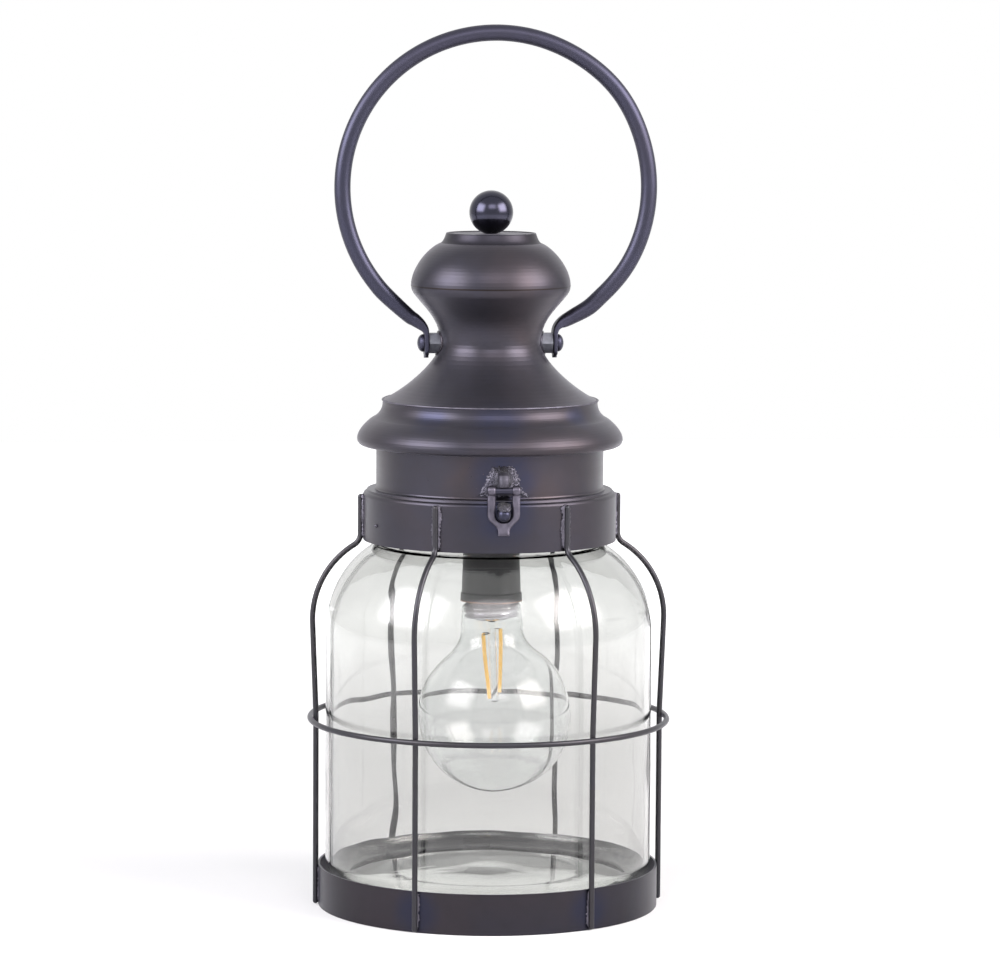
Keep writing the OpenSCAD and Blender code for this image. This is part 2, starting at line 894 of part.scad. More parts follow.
module handle_bolts() {
    color(metal)
        at_pivots() {
            translate([0, 0, tab_in - 11])
                cylinder(r = bolt_r, h = tab_t + 11.5);
            translate([0, 0, tab_out + side_play])
                rotate_extrude()
                    polygon(concat([[0, 0], [head_r, 0]],
                        curve([head_r, 0.4], [head_r, 2.4], [3, head_h], [0, head_h], 8)));
        }
}

module handle_weld_nuts() {
    color(steel)
        difference() {
            at_pivots()
                translate([0, 0, waist_r - nut_h_in])
                    rotate([0, 0, 30])
                        hex_nut(nut_af, tab_in - side_play - waist_r + nut_h_in, bolt_r);
            rotate_extrude()
                polygon(concat([[0, cone_foot[1]]], tidy(cone_outline()), [[0, ridge_z]]));
        }
}

module neck(side, at, grow) {
    translate([side * (tab_in + tab_t / 2 + at[0]), 0, pivot_z + at[1]])
        rotate([0, side * (90 - at[4]), 0])
            scale([at[2] / 2 + grow, at[3] / 2 + grow, 1])
                cylinder(r = 1, h = 0.4, center = true, $fn = 32);
}

module handle_ring() {
    function open(side) = asin((grip_end - side * grip_shift) / grip_r);
    color(metal)
        difference() {
            union() {
                translate([grip_shift, 0, grip_z])
                    rotate([90, 90 - open(1), 0])
                        rotate_extrude(angle = 360 - open(1) - open(-1))
                            translate([grip_r, 0])
                                circle(r = grip_d / 2, $fn = 48);
                for (side = [-1, 1]) {
                    hull() {
                        translate([grip_shift, 0, grip_z])
                            rotate([0, 180 - side * open(side), 0])
                                translate([0, 0, grip_r])
                                    rotate([0, 90, 0])
                                        cylinder(r = grip_d / 2 + swell, h = 0.4, center = true, $fn = 32);
                        neck(side, necks[0], swell);
                    }
                    hull() {
                        neck(side, necks[0], 0);
                        neck(side, necks[1], swell);
                    }
                    hull() {
                        neck(side, necks[1], 0);
                        translate([side * (tab_in + tab_t / 2), 0, pivot_z + tab_top])
                            cube([tab_t + swell, tab_w - 1, 0.4], center = true);
                    }
                    translate([side * tab_in, 0, pivot_z])
                        rotate([0, side * 90, 0])
                            linear_extrude(tab_t)
                                union() {
                                    intersection() {
                                        circle(r = tab_end_r);
                                        square([4 * tab_end_r, tab_w], center = true);
                                    }
                                    translate([side > 0 ? -tab_top : 0, -tab_w / 2])
                                        square([tab_top, tab_w]);
                                }
                }
            }
            for (side = [-1, 1])
                translate([side * (tab_in - 1), 0, pivot_z])
                    rotate([0, side * 90, 0])
                        cylinder(r = bolt_r + slip, h = tab_t + 2);
        }
}

// ---- Hasp ----

module hasp_knuckle() {
    color(metal)
        difference() {
            translate([-knuckle_w / 2, pin_y, pin_z])
                rotate([90, 0, 90])
                    linear_extrude(knuckle_w)
                        polygon(concat(
                            [[-pin_y - throat_r + 6, -knuckle_foot], [knuckle_back, -knuckle_foot],
                             [knuckle_back, hasp_pin_r + 0.1], [-knuckle_front, hasp_pin_r + 0.1]],
                            curve([-knuckle_front, knuckle_top - 3.5], [-knuckle_front, knuckle_top - 0.5],
                                  [-knuckle_front + 0.6, knuckle_top], [-knuckle_front + 3, knuckle_top], 6),
                            [[-pin_y - throat_r + 6, knuckle_top]]
                        ));
            translate([-knuckle_w, pin_y, pin_z])
                rotate([0, 90, 0])
                    cylinder(r = hasp_pin_r, h = 2 * knuckle_w);
            translate([0, 0, seam_z])
                cylinder(r = throat_r, h = throat_h);
        }
}

module hasp_pin() {
    color(steel)
        translate([-loop_outer_r - 0.4, pin_y, pin_z])
            rotate([0, 90, 0])
                cylinder(r = hasp_pin_r, h = 2 * loop_outer_r + 0.8);
}

module hasp_loop() {
    color(metal)
        difference() {
            union() {
                translate([0, pin_y + loop_t / 2, 0])
                    rotate([90, 0, 0])
                        linear_extrude(loop_t)
                            difference() {
                                union() {
                                    translate([0, arc_z])
                                        circle(r = loop_outer_r);
                                    translate([-loop_outer_r, arc_z])
                                        square([2 * loop_outer_r, pin_z - arc_z]);
                                }
                                translate([0, arc_z])
                                    circle(r = arc_r);
                                translate([-arc_r, arc_z])
                                    square([loop_w, pin_z - arc_z + 1]);
                            }
                for (side = [-1, 1])
                    translate([side * (arc_r + leg_w / 2), pin_y, pin_z])
                        rotate([0, 90, 0])
                            cylinder(r = eye_r, h = leg_w, center = true);
                translate([-tongue_w / 2, pin_y, arc_z - loop_outer_r + 1.2])
                    rotate([-14, 0, 0])
                        translate([0, -loop_t / 2, -tongue_l])
                            cube([tongue_w, loop_t - 0.6, tongue_l]);
            }
            translate([-2 * loop_outer_r, pin_y, pin_z])
                rotate([0, 90, 0])
                    cylinder(r = hasp_pin_r + slip, h = 4 * loop_outer_r);
        }
}

base_ring();
for (i = [1:bracket_count])
    jar_bracket(i);
glass_jar();
for (i = [1:6])
    cage_wire(i);
guard_hoop();
lower_collar();
latch_stud();
hinge_lower_leaf();
hinge_pin();
cable_grommet();
lamp_bridge();
threaded_tube();
lock_nut();
holder_cap();
holder_sleeve();
holder_insulator();
brass_screw_shell();
centre_contact();
bulb_cap();
bulb_cap_insulator();
bulb_contact();
bulb_glass();
bulb_stem();
bulb_filaments();
filament_supports();
upper_collar();
roof_brim();
chimney_cone();
chimney_dome();
button_cap();
finial();
finial_nut();
hinge_upper_leaf();
hasp_knuckle();
hasp_pin();
handle_weld_nuts();
handle_bolts();
handle_ring();
hasp_loop();
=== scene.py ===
"""Looks of the lantern table lamp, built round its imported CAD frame.

Places and sizes are in millimetres, which MM turns into Blender's metres. The camera, the lights and the
scales of textures are in metres.
"""

import json
import math
import random

import bmesh
import bpy
from mathutils import Matrix, Vector, noise
from mathutils.bvhtree import BVHTree


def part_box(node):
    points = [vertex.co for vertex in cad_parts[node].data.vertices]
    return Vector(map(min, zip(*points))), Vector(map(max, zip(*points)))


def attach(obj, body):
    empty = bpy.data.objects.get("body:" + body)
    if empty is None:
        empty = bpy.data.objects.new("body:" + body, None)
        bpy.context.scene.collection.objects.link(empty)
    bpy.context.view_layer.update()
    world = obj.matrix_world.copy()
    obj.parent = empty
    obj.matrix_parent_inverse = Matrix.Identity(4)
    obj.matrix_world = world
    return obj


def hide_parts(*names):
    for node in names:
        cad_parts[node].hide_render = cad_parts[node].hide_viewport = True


MM = 0.001
TURN = math.radians(6.0)  # how far the lantern is turned in the photograph
X, Y, Z = 0, 1, 2
LOW, HIGH = 0, 1
FRONT = Vector((0, -1, 0))

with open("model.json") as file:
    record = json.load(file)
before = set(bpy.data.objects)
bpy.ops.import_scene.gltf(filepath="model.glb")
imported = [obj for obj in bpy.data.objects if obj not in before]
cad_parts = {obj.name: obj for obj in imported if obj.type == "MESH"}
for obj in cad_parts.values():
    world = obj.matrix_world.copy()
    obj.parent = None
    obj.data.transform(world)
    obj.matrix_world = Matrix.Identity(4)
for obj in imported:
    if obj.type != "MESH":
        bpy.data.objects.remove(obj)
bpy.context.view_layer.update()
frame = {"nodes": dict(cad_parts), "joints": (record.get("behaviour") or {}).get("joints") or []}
nodes = frame["nodes"]


# ---------- places and sizes from the frame ----------

def edge(node, end, axis):
    """A node's lowest or highest place along an axis, to a hundredth of a millimetre."""
    return round(float(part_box(node)[end][axis]) / MM, 2)


def middle(node, axis):
    """The middle of a node along an axis, to a hundredth of a millimetre."""
    low, high = [float(corner[axis]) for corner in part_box(node)]
    return round((low + high) / 2 / MM, 2)


def pivot(name):
    """The place of a joint, to a hundredth of a millimetre."""
    joint = next(j for j in frame["joints"] if j["name"] == name)
    return [round(place / MM, 2) for place in joint["pos_m"]]


def outward(azimuth):
    """The level direction away from the lantern's axis, at an azimuth in degrees from the front."""
    a = math.radians(azimuth)
    return Vector((math.sin(a), -math.cos(a), 0))


def turns(count):
    """Angles at even steps round a circle."""
    return [2 * math.pi * k / count for k in range(count)]


BASE_R = edge("base_ring", HIGH, X)
COLLAR_R = edge("lower_collar", HIGH, X)
UPPER_R = edge("upper_collar", HIGH, X)
WIRE_AZIMUTHS = range(30, 390, 60)
PIVOT_Z = pivot("handle_pivot")[Z]
PIN_Y, PIN_Z = pivot("hasp_pivot")[Y:]
STUD_Z = middle("latch_stud", Z)


# ---------- node helpers ----------

class Tree:
    """A material's node tree, with short calls for what this script uses often."""

    def __init__(self, name):
        self.mat = bpy.data.materials.new(name)
        self.mat.use_nodes = True
        self.nt = self.mat.node_tree
        self.nt.nodes.clear()
        self.out = self.add("ShaderNodeOutputMaterial")
        self.coord = self.add("ShaderNodeTexCoord").outputs["Object"]

    def add(self, kind, **props):
        n = self.nt.nodes.new(kind)
        for key, value in props.items():
            setattr(n, key, value)
        return n

    def link(self, a, b):
        self.nt.links.new(a, b)

    def put(self, socket, value):
        if hasattr(value, "node"):
            self.link(value, socket)
        else:
            socket.default_value = value

    def noise(self, scale, detail=3.0, rough=0.5, distort=0.0, stretch=None, vector=None):
        n = self.add("ShaderNodeTexNoise")
        source = vector or self.coord
        if stretch:
            m = self.add("ShaderNodeMapping")
            m.inputs["Scale"].default_value = stretch
            self.link(source, m.inputs["Vector"])
            source = m.outputs["Vector"]
        self.link(source, n.inputs["Vector"])
        n.inputs["Scale"].default_value = scale
        n.inputs["Detail"].default_value = detail
        n.inputs["Roughness"].default_value = rough
        n.inputs["Distortion"].default_value = distort
        return n.outputs["Fac"]

    def ramp(self, fac, *stops):
        n = self.add("ShaderNodeValToRGB")
        e = n.color_ramp.elements
        while len(e) < len(stops):
            e.new(0.5)
        for element, (pos, value) in zip(e, stops):
            element.position = pos
            if isinstance(value, (int, float)):
                value = (value, value, value)
            element.color = (*value[:3], 1.0)
        self.link(fac, n.inputs["Fac"])
        return n.outputs["Color"]

    def mix(self, fac, a, b):
        n = self.add("ShaderNodeMix", data_type="RGBA")
        self.put(n.inputs[0], fac)
        for socket, value in ((n.inputs[6], a), (n.inputs[7], b)):
            if not hasattr(value, "node"):
                value = (*value[:3], 1.0)
            self.put(socket, value)
        return n.outputs[2]

    def math(self, op, a, b=0.0, clamp=False):
        n = self.add("ShaderNodeMath", operation=op, use_clamp=clamp)
        self.put(n.inputs[0], a)
        self.put(n.inputs[1], b)
        return n.outputs[0]

    def spot(self, at, near, far):
        """1 within near of a point in millimetres, falling to 0 at far."""
        away = self.add("ShaderNodeVectorMath", operation="SUBTRACT")
        self.link(self.coord, away.inputs[0])
        away.inputs[1].default_value = [v * MM for v in at]
        length = self.add("ShaderNodeVectorMath", operation="LENGTH")
        self.link(away.outputs[0], length.inputs[0])
        m = self.add("ShaderNodeMapRange", interpolation_type="SMOOTHSTEP")
        self.link(length.outputs["Value"], m.inputs["Value"])
        m.inputs["From Min"].default_value = near * MM
        m.inputs["From Max"].default_value = far * MM
        m.inputs["To Min"].default_value = 1.0
        m.inputs["To Max"].default_value = 0.0
        return m.outputs["Result"]

    def height(self):
        n = self.add("ShaderNodeSeparateXYZ")
        self.link(self.coord, n.inputs[0])
        return n.outputs["Z"]

    def radius(self):
        flat = self.add("ShaderNodeVectorMath", operation="MULTIPLY")
        self.link(self.coord, flat.inputs[0])
        flat.inputs[1].default_value = (1, 1, 0)
        length = self.add("ShaderNodeVectorMath", operation="LENGTH")
        self.link(flat.outputs[0], length.inputs[0])
        return length.outputs["Value"]

    def bump(self, height, strength, distance):
        n = self.add("ShaderNodeBump")
        self.link(height, n.inputs["Height"])
        n.inputs["Strength"].default_value = strength
        n.inputs["Distance"].default_value = distance
        return n.outputs["Normal"]

    def principled(self, **values):
        """A Principled shader as the surface. Each value is a number, a colour or another node's socket."""
        n = self.add("ShaderNodeBsdfPrincipled")
        for key, value in values.items():
            socket = n.inputs[key.replace("_", " ")]
            if not hasattr(value, "node") and key.endswith(("Color", "Tint")) and len(value) == 3:
                value = (*value, 1.0)
            self.put(socket, value)
        self.link(n.outputs[0], self.out.inputs["Surface"])


# The patina's colours: its two clouds, its dark flecks, heat, black painted shade, the painted shade of the
# inside and the dust on it
COOL = (0.046, 0.044, 0.056)
BROWN = (0.056, 0.046, 0.050)
DUSK = (0.042, 0.039, 0.044)
BLUED = (0.036, 0.038, 0.064)
SHADE_BLACK = (0.006, 0.006, 0.008)
INSIDE_SHADE = (0.030, 0.028, 0.042)
DUST = (0.86, 0.84, 1.0)


def patina(name, tone=(1, 1, 1), rough=0.32, warm=0.5, heat=(), seed=0.0, level=1.0, spun=False,
           lines=(), painted_shade=(), inside=None, dust=0.12, grained=0.06):
    """Dark bronze patina on sheet metal.

    heat and painted_shade hold (point, inner, outer) of spots of blue-grey heat tint and of black, painted
    shade. spun adds the faint rings of a spun sheet, and lines holds (height, half width, colour) of thin
    lines round it. inside is a radius within which the sheet is dull and dark, as painted shade. warm is how
    brown its clouds are, dust the strength of a pale sheen and grained that of the fine grain. tone and level
    scale its colours, and seed moves its pattern.
    """
    t = Tree(name)
    shift = t.add("ShaderNodeVectorMath", operation="ADD")
    t.link(t.coord, shift.inputs[0])
    shift.inputs[1].default_value = (seed, seed * 0.7, -seed)
    place = shift.outputs[0]
    cloud = t.noise(11, 4, 0.55, 0.6, vector=place)
    fine = t.noise(90, 4, 0.6, 0.2, vector=place)
    cool, brown, dusk = [[c * level * k for c, k in zip(colour, tone)] for colour in (COOL, BROWN, DUSK)]
    colour = t.mix(t.ramp(cloud, (0.40, 0.0), (0.62, warm)), cool, brown)
    colour = t.mix(t.ramp(fine, (0.35, 0.35), (0.6, 0.0)), colour, dusk)
    metallic = 1.0
    roughness = t.ramp(cloud, (0.3, rough - 0.04), (0.7, rough + 0.05))
    for at, near, far in heat:
        mask = t.math("MULTIPLY", t.spot(at, near, far), t.ramp(fine, (0.25, 0.55), (0.65, 1.0)), clamp=True)
        colour = t.mix(mask, colour, [c * level for c in BLUED])
    # black spots of painted shade
    for at, near, far in painted_shade:
        colour = t.mix(t.spot(at, near, far), colour, SHADE_BLACK)
    # inside that radius the sheet is darkened and dulled: painted shade
    if inside:
        inner = t.math("LESS_THAN", t.radius(), inside * MM)
        colour = t.mix(t.math("MULTIPLY", inner, 0.9), colour, INSIDE_SHADE)
        metallic = t.math("SUBTRACT", 1.0, t.math("MULTIPLY", inner, 0.85))
    grain = t.noise(300, 3, 0.6, vector=place)
    if spun:
        rings = t.noise(130, 4, 0.7, vector=place, stretch=(0.05, 0.05, 1.0))
        roughness = t.math("ADD", roughness, t.math("MULTIPLY", t.math("SUBTRACT", rings, 0.5), 0.16))
        grain = t.mix(0.75, grain, rings)
    for height, half, tint in lines:
        away = t.math("ABSOLUTE", t.math("SUBTRACT", t.height(), height * MM))
        band = t.math("SUBTRACT", 1.0, t.math("DIVIDE", away, half * MM), clamp=True)
        colour = t.mix(t.math("MULTIPLY", band, 3.0, clamp=True), colour, tint)
    t.principled(Base_Color=colour, Metallic=metallic, Roughness=roughness, Sheen_Weight=dust,
                 Sheen_Roughness=0.45, Sheen_Tint=DUST, Normal=t.bump(grain, grained, 0.0003))
    return t.mat


def dress(names, material):
    """Give CAD nodes their material."""
    for name in names:
        materials = nodes[name].data.materials
        materials.clear()
        materials.append(material)


# ---------- camera and light, in metres ----------

AIM = Vector((0, 0, 0.35))


def camera():
    """The photograph's camera, as fitted to the ellipses of the lantern's rings."""
    distance, eye = 2.72771, 0.5485
    pitch, roll, yaw = 0.10334660, 0.00619296, 0.00233357
    cam = bpy.data.cameras.new("camera")
    cam.sensor_width = 36.0
    cam.lens = 159.97
    cam.clip_end = 50
    o = bpy.data.objects.new("camera", cam)
    bpy.context.scene.collection.objects.link(o)
    forward = Vector((math.sin(yaw) * math.cos(pitch), math.cos(yaw) * math.cos(pitch), -math.sin(pitch)))
    level = Vector((math.cos(yaw), -math.sin(yaw), 0))
    upright = level.cross(forward)
    right = level * math.cos(roll) + upright * math.sin(roll)
    up = upright * math.cos(roll) - level * math.sin(roll)
    m = Matrix((right, up, -forward)).transposed().to_4x4()
    m.translation = Vector((0, -distance, eye))
    o.matrix_world = Matrix.Rotation(-TURN, 4, "Z") @ m
    bpy.context.scene.camera = o


def faded(nt, here, axis, half):
    """1 over the middle of a light, falling softly to 0 at its edge, which is half away along an axis. here
    is the place as counted from the light's centre."""
    dot = nt.nodes.new("ShaderNodeVectorMath")
    dot.operation = "DOT_PRODUCT"
    nt.links.new(here, dot.inputs[0])
    dot.inputs[1].default_value = axis
    away = nt.nodes.new("ShaderNodeMath")
    away.operation = "ABSOLUTE"
    nt.links.new(dot.outputs["Value"], away.inputs[0])
    fade = nt.nodes.new("ShaderNodeMapRange")
    fade.interpolation_type = "SMOOTHSTEP"
    nt.links.new(away.outputs[0], fade.inputs["Value"])
    fade.inputs["From Min"].default_value = half * 0.35
    fade.inputs["From Max"].default_value = half
    fade.inputs["To Min"].default_value = 1.0
    fade.inputs["To Max"].default_value = 0.0
    return fade.outputs["Result"]


def area(name, at, size, power, colour):
    """A light with soft edges that faces the lamp. Its place is counted from the camera's side: x to the
    right, y away from the camera and z up."""
    lamp = bpy.data.lights.new(name, "AREA")
    lamp.shape = "RECTANGLE"
    lamp.size, lamp.size_y = size
    lamp.energy = power
    lamp.color = colour
    o = bpy.data.objects.new(name, lamp)
    bpy.context.scene.collection.objects.link(o)
    at = Matrix.Rotation(-TURN, 3, "Z") @ Vector(at)
    o.location = at
    turn = (AIM - at).to_track_quat("-Z", "Y")
    o.rotation_euler = turn.to_euler()
    lamp.use_nodes = True
    nt = lamp.node_tree
    here = nt.nodes.new("ShaderNodeVectorMath")
    here.operation = "SUBTRACT"
    nt.links.new(nt.nodes.new("ShaderNodeNewGeometry").outputs["Position"], here.inputs[0])
    here.inputs[1].default_value = at
    both = nt.nodes.new("ShaderNodeMath")
    both.operation = "MULTIPLY"
    for socket, axis, length in zip(both.inputs, ((1, 0, 0), (0, 1, 0)), size):
        nt.links.new(faded(nt, here.outputs[0], turn @ Vector(axis), length / 2), socket)
    nt.links.new(both.outputs[0], nt.nodes["Emission"].inputs["Strength"])


def surroundings():
    """A dim cool sky as light, and plain white for the camera and in what metal and glass show."""
    world = bpy.data.worlds.new("studio")
    bpy.context.scene.world = world
    world.use_nodes = True
    nt = world.node_tree
    nt.nodes.clear()
    mix = nt.nodes.new("ShaderNodeMixShader")
    cool, white = (0.9, 0.94, 1.0, 1), (1, 1, 1, 1)
    for socket, colour, strength in ((mix.inputs[1], cool, 0.3), (mix.inputs[2], white, 1.0)):
        sky = nt.nodes.new("ShaderNodeBackground")
        sky.inputs["Color"].default_value = colour
        sky.inputs["Strength"].default_value = strength
        nt.links.new(sky.outputs[0], socket)
    ray = nt.nodes.new("ShaderNodeLightPath")
    seen = ray.outputs["Is Camera Ray"]
    for kind in ("Is Transmission Ray", "Is Glossy Ray"):
        either = nt.nodes.new("ShaderNodeMath")
        either.operation = "MAXIMUM"
        nt.links.new(seen, either.inputs[0])
        nt.links.new(ray.outputs[kind], either.inputs[1])
        seen = either.outputs[0]
    nt.links.new(seen, mix.inputs[0])
    out = nt.nodes.new("ShaderNodeOutputWorld")
    nt.links.new(mix.outputs[0], out.inputs["Surface"])


def floor():
    """A pale floor. As the camera sees it, in metal and through glass it also glows: least round the foot,
    where the lamp's shadow lies, more inside the open base ring, as painted light under the jar, and most far
    away."""
    bpy.ops.mesh.primitive_plane_add(size=6, location=(0, 0, -0.0002))
    o = bpy.context.object
    o.name = "floor"
    t = Tree("floor_white")
    diffuse = t.add("ShaderNodeBsdfDiffuse")
    t.link(t.ramp(t.noise(3, 2), (0.0, 0.66), (1.0, 0.70)), diffuse.inputs["Color"])
    glow = t.add("ShaderNodeEmission")
    far = t.math("MULTIPLY", t.math("SUBTRACT", 1.0, t.spot((0, 0, 0), 500, 1500)), 0.75)
    # more glow inside the base ring: painted light under the jar
    painted_light_under_jar = t.math("MULTIPLY", t.spot((0, 0, 0), 92, 104), 0.70)
    t.link(t.math("ADD", t.math("ADD", far, painted_light_under_jar), 0.30), glow.inputs["Strength"])
    add = t.add("ShaderNodeAddShader")
    t.link(diffuse.outputs[0], add.inputs[0])
    t.link(glow.outputs[0], add.inputs[1])
    ray = t.add("ShaderNodeLightPath")
    seen = t.math("MAXIMUM", t.math("MAXIMUM", ray.outputs["Is Camera Ray"], ray.outputs["Is Glossy Ray"]),
                  ray.outputs["Is Transmission Ray"])
    mix = t.add("ShaderNodeMixShader")
    t.link(seen, mix.inputs[0])
    t.link(diffuse.outputs[0], mix.inputs[1])
    t.link(add.outputs[0], mix.inputs[2])
    t.link(mix.outputs[0], t.out.inputs["Surface"])
    o.data.materials.append(t.mat)


camera()
surroundings()
floor()
area("key_left", (-1.33, -0.70, 1.05), (1.8, 1.45), 74, (1.0, 0.97, 1.0))
area("key_right", (1.37, -0.61, 1.05), (1.8, 1.45), 92, (1.0, 0.94, 0.93))
area("front", (0.15, -1.57, 1.45), (1.7, 1.0), 24, (1.0, 0.95, 0.98))

# ---------- materials ----------

# Where the wires' feet are soldered to the base ring
feet = [outward(azimuth) * (BASE_R - 0.4) + Vector((0, 0, 12)) for azimuth in WIRE_AZIMUTHS]

# its black spot, behind the hasp's loop, is painted shade
body_metal = patina("patina_body", rough=0.36, heat=[((0, -78, 252), 8, 26)],
                    painted_shade=[((0.6, -77, 259.5), 2.5, 4.6)])
# its inside wall is darkened and dulled: painted shade
base_metal = patina("patina_base", rough=0.38, seed=0.9, level=0.8, dust=0.08, inside=BASE_R - 0.5,
                    heat=[(foot, 6, 19) for foot in feet])
roof_metal = patina("patina_roof", rough=0.39, seed=0.31, warm=0.8, dust=0.2, spun=True,
                    heat=[((-2, -70, 306), 5, 24), ((-40, -52, 303), 4, 16), ((46, -46, 304), 4, 14)],
                    lines=[(384.2, 0.5, (0.024, 0.019, 0.018)), (411.0, 0.7, (0.02, 0.018, 0.02))])
# the button cap's patina is kept darker than the roof's: painted shade
shaded_cap_metal = patina("patina_cap_painted_shade", rough=0.42, seed=1.1, warm=0.3, level=0.7, dust=0.1, spun=True)
# its black spot, behind the hasp's loop, is painted shade
collar_metal = patina("patina_collar", seed=0.17, warm=1.0, level=1.1, spun=True,
                      heat=[((2, -70, 273), 11, 27)], painted_shade=[((0.6, -71.5, 260.5), 3.2, 6.0)])
wire_metal = patina("patina_wire", rough=0.38, seed=0.55, warm=0.3, tone=(1.05, 1.1, 1.0))
handle_metal = patina("patina_handle", rough=0.42, seed=0.7, warm=0.2, level=1.08, tone=(0.95, 1.0, 1.2),
                      dust=0.07, grained=0.015)
ball_metal = patina("patina_ball", rough=0.2, seed=0.2, warm=0.2, tone=(0.95, 1.0, 1.15), dust=0.05,
                    grained=0.02)


def steel(name, colour, rough):
    """Bare or lightly stained metal, with a fine cloud in its colour and its gloss."""
    t = Tree(name)
    cloud = t.noise(160, 4, 0.6)
    shade = t.ramp(cloud, (0.35, [c * 0.6 for c in colour]), (0.65, colour))
    t.principled(Base_Color=shade, Metallic=1.0,
                 Roughness=t.ramp(cloud, (0.3, rough - 0.08), (0.7, rough + 0.1)),
                 Normal=t.bump(t.noise(700, 2), 0.08, 0.0003))
    return t.mat


def glass(name, tint, wave=0.0):
    """Clear glass. wave is the strength of the slow waves in a blown face."""
    t = Tree(name)
    values = {"Base_Color": tint, "Roughness": 0.0, "IOR": 1.5, "Transmission_Weight": 1.0}
    if wave:
        values["Normal"] = t.bump(t.noise(16, 2, 0.4, 0.5, stretch=(1, 1, 0.45)), wave, 0.004)
    t.principled(**values)
    return t.mat


def plastic(name, colour, rough):
    """Moulded plastic or glazed ceramic, with a faint unevenness."""
    t = Tree(name)
    cloud = t.noise(120, 3, 0.6)
    t.principled(Base_Color=t.ramp(cloud, (0.3, [c * 0.8 for c in colour]), (0.7, colour)),
                 Roughness=t.ramp(cloud, (0.3, rough - 0.06), (0.7, rough + 0.08)),
                 Normal=t.bump(t.noise(60, 2), 0.05, 0.0004))
    return t.mat


def phosphor():
    """The amber coat of a filament, with a painted glow."""
    t = Tree("amber_phosphor_painted_glow")
    tint = t.ramp(t.noise(400, 2), (0.3, (0.90, 0.50, 0.09)), (0.7, (0.95, 0.60, 0.16)))
    # the emission is a painted glow on the filament
    t.principled(Base_Color=tint, Roughness=0.5, Emission_Color=tint, Emission_Strength=0.65)
    return t.mat


def pitted():
    """Weld left as it cooled: dull, finely pitted and dark in its pits, with painted highlights on its
    specks.
    """
    t = Tree("weld_heap")
    pits = t.noise(1250, 3, 0.6)
    patches = t.noise(260, 3, 0.5)
    # light on the raised specks: painted highlights
    colour = t.mix(t.ramp(pits, (0.42, 0.0), (0.60, 1.0)), (0.022, 0.022, 0.030), (0.27, 0.26, 0.32))
    colour = t.mix(t.ramp(patches, (0.40, 0.75), (0.62, 0.0)), colour, (0.05, 0.048, 0.065))
    t.principled(Base_Color=colour, Metallic=1.0, Roughness=t.ramp(pits, (0.35, 0.62), (0.65, 0.40)),
                 Sheen_Weight=0.15, Sheen_Roughness=0.5, Normal=t.bump(pits, 0.9, 0.0006))
    return t.mat


def banded():
    """The bulb's neck ring: bright metal with dark bands painted round it, as painted reflections."""
    t = Tree("neck_metal")
    # the dark and bright bands round the ring are painted reflections
    steps = t.noise(55, 2, 0.5, stretch=(0.15, 0.15, 1.0))
    t.principled(Base_Color=t.ramp(steps, (0.42, (0.10, 0.09, 0.10)), (0.56, (0.75, 0.74, 0.78))),
                 Metallic=1.0, Roughness=t.ramp(steps, (0.3, 0.12), (0.7, 0.2)))
    return t.mat


bare = steel("bare_steel", (0.24, 0.25, 0.285), 0.42)
weld = steel("weld_nub", (0.11, 0.105, 0.13), 0.58)
solder = steel("solder", (0.15, 0.142, 0.175), 0.46)
forged = steel("forged_hasp", (0.135, 0.125, 0.16), 0.40)
brass = steel("brass", (0.72, 0.50, 0.22), 0.3)
copper = steel("copper_lip", (0.42, 0.24, 0.17), 0.35)
heap_metal = pitted()
neck_metal = banded()
jar_glass = glass("jar_glass", (0.765, 0.77, 0.757), wave=0.1)
bulb_glass = glass("bulb_glass", (0.97, 0.98, 0.98))
black = plastic("black_plastic", (0.05, 0.05, 0.055), 0.4)
ceramic = plastic("ceramic", (0.8, 0.78, 0.74), 0.25)
amber = phosphor()

dress(nodes, body_metal)
dress(["roof_brim", "chimney_cone", "chimney_dome"], roof_metal)
dress(["button_cap"], shaded_cap_metal)
dress(["upper_collar", "hinge_upper_leaf", "hasp_knuckle", "hasp_loop"], collar_metal)
dress(["guard_hoop"] + [name for name in nodes if name.startswith("cage_wire")], wire_metal)
dress(["handle_ring", "handle_bolts"], handle_metal)
dress(["finial"], ball_metal)
dress(["hinge_pin", "threaded_tube", "lock_nut", "finial_nut", "handle_weld_nuts"], bare)
dress(["bulb_cap", "bulb_contact", "filament_supports"], bare)
dress(["base_ring"] + [name for name in nodes if name.startswith("jar_bracket")], base_metal)
dress(["holder_cap", "holder_sleeve", "cable_grommet", "bulb_cap_insulator"], black)
dress(["brass_screw_shell", "centre_contact"], brass)
dress(["holder_insulator"], ceramic)
dress(["glass_jar"], jar_glass)
dress(["bulb_glass", "bulb_stem"], bulb_glass)
dress(["bulb_filaments"], amber)

# ---------- shapes ----------

def skin(rings, closed=False):
    """A mesh through rings of points in metres, capped at both ends unless it closes on itself."""
    bm = bmesh.new()
    rows = [[bm.verts.new(p) for p in ring] for ring in rings]
    following = rows[1:] + rows[:1] if closed else rows[1:]
    for a, b in zip(rows, following):
        for i in range(len(a)):
            j = (i + 1) % len(a)
            bm.faces.new((a[i], a[j], b[j], b[i]))
    if not closed:
        bm.faces.new(rows[0])
        bm.faces.new(list(reversed(rows[-1])))
    bmesh.ops.recalc_face_normals(bm, faces=bm.faces)
    return bm


def rounded(angle, power):
    """A point on a unit superellipse: power 2 is a circle, a higher power is squarer."""
    c, s = math.cos(angle), math.sin(angle)
    return (math.copysign(abs(c) ** (2 / power), c), math.copysign(abs(s) ** (2 / power), s))


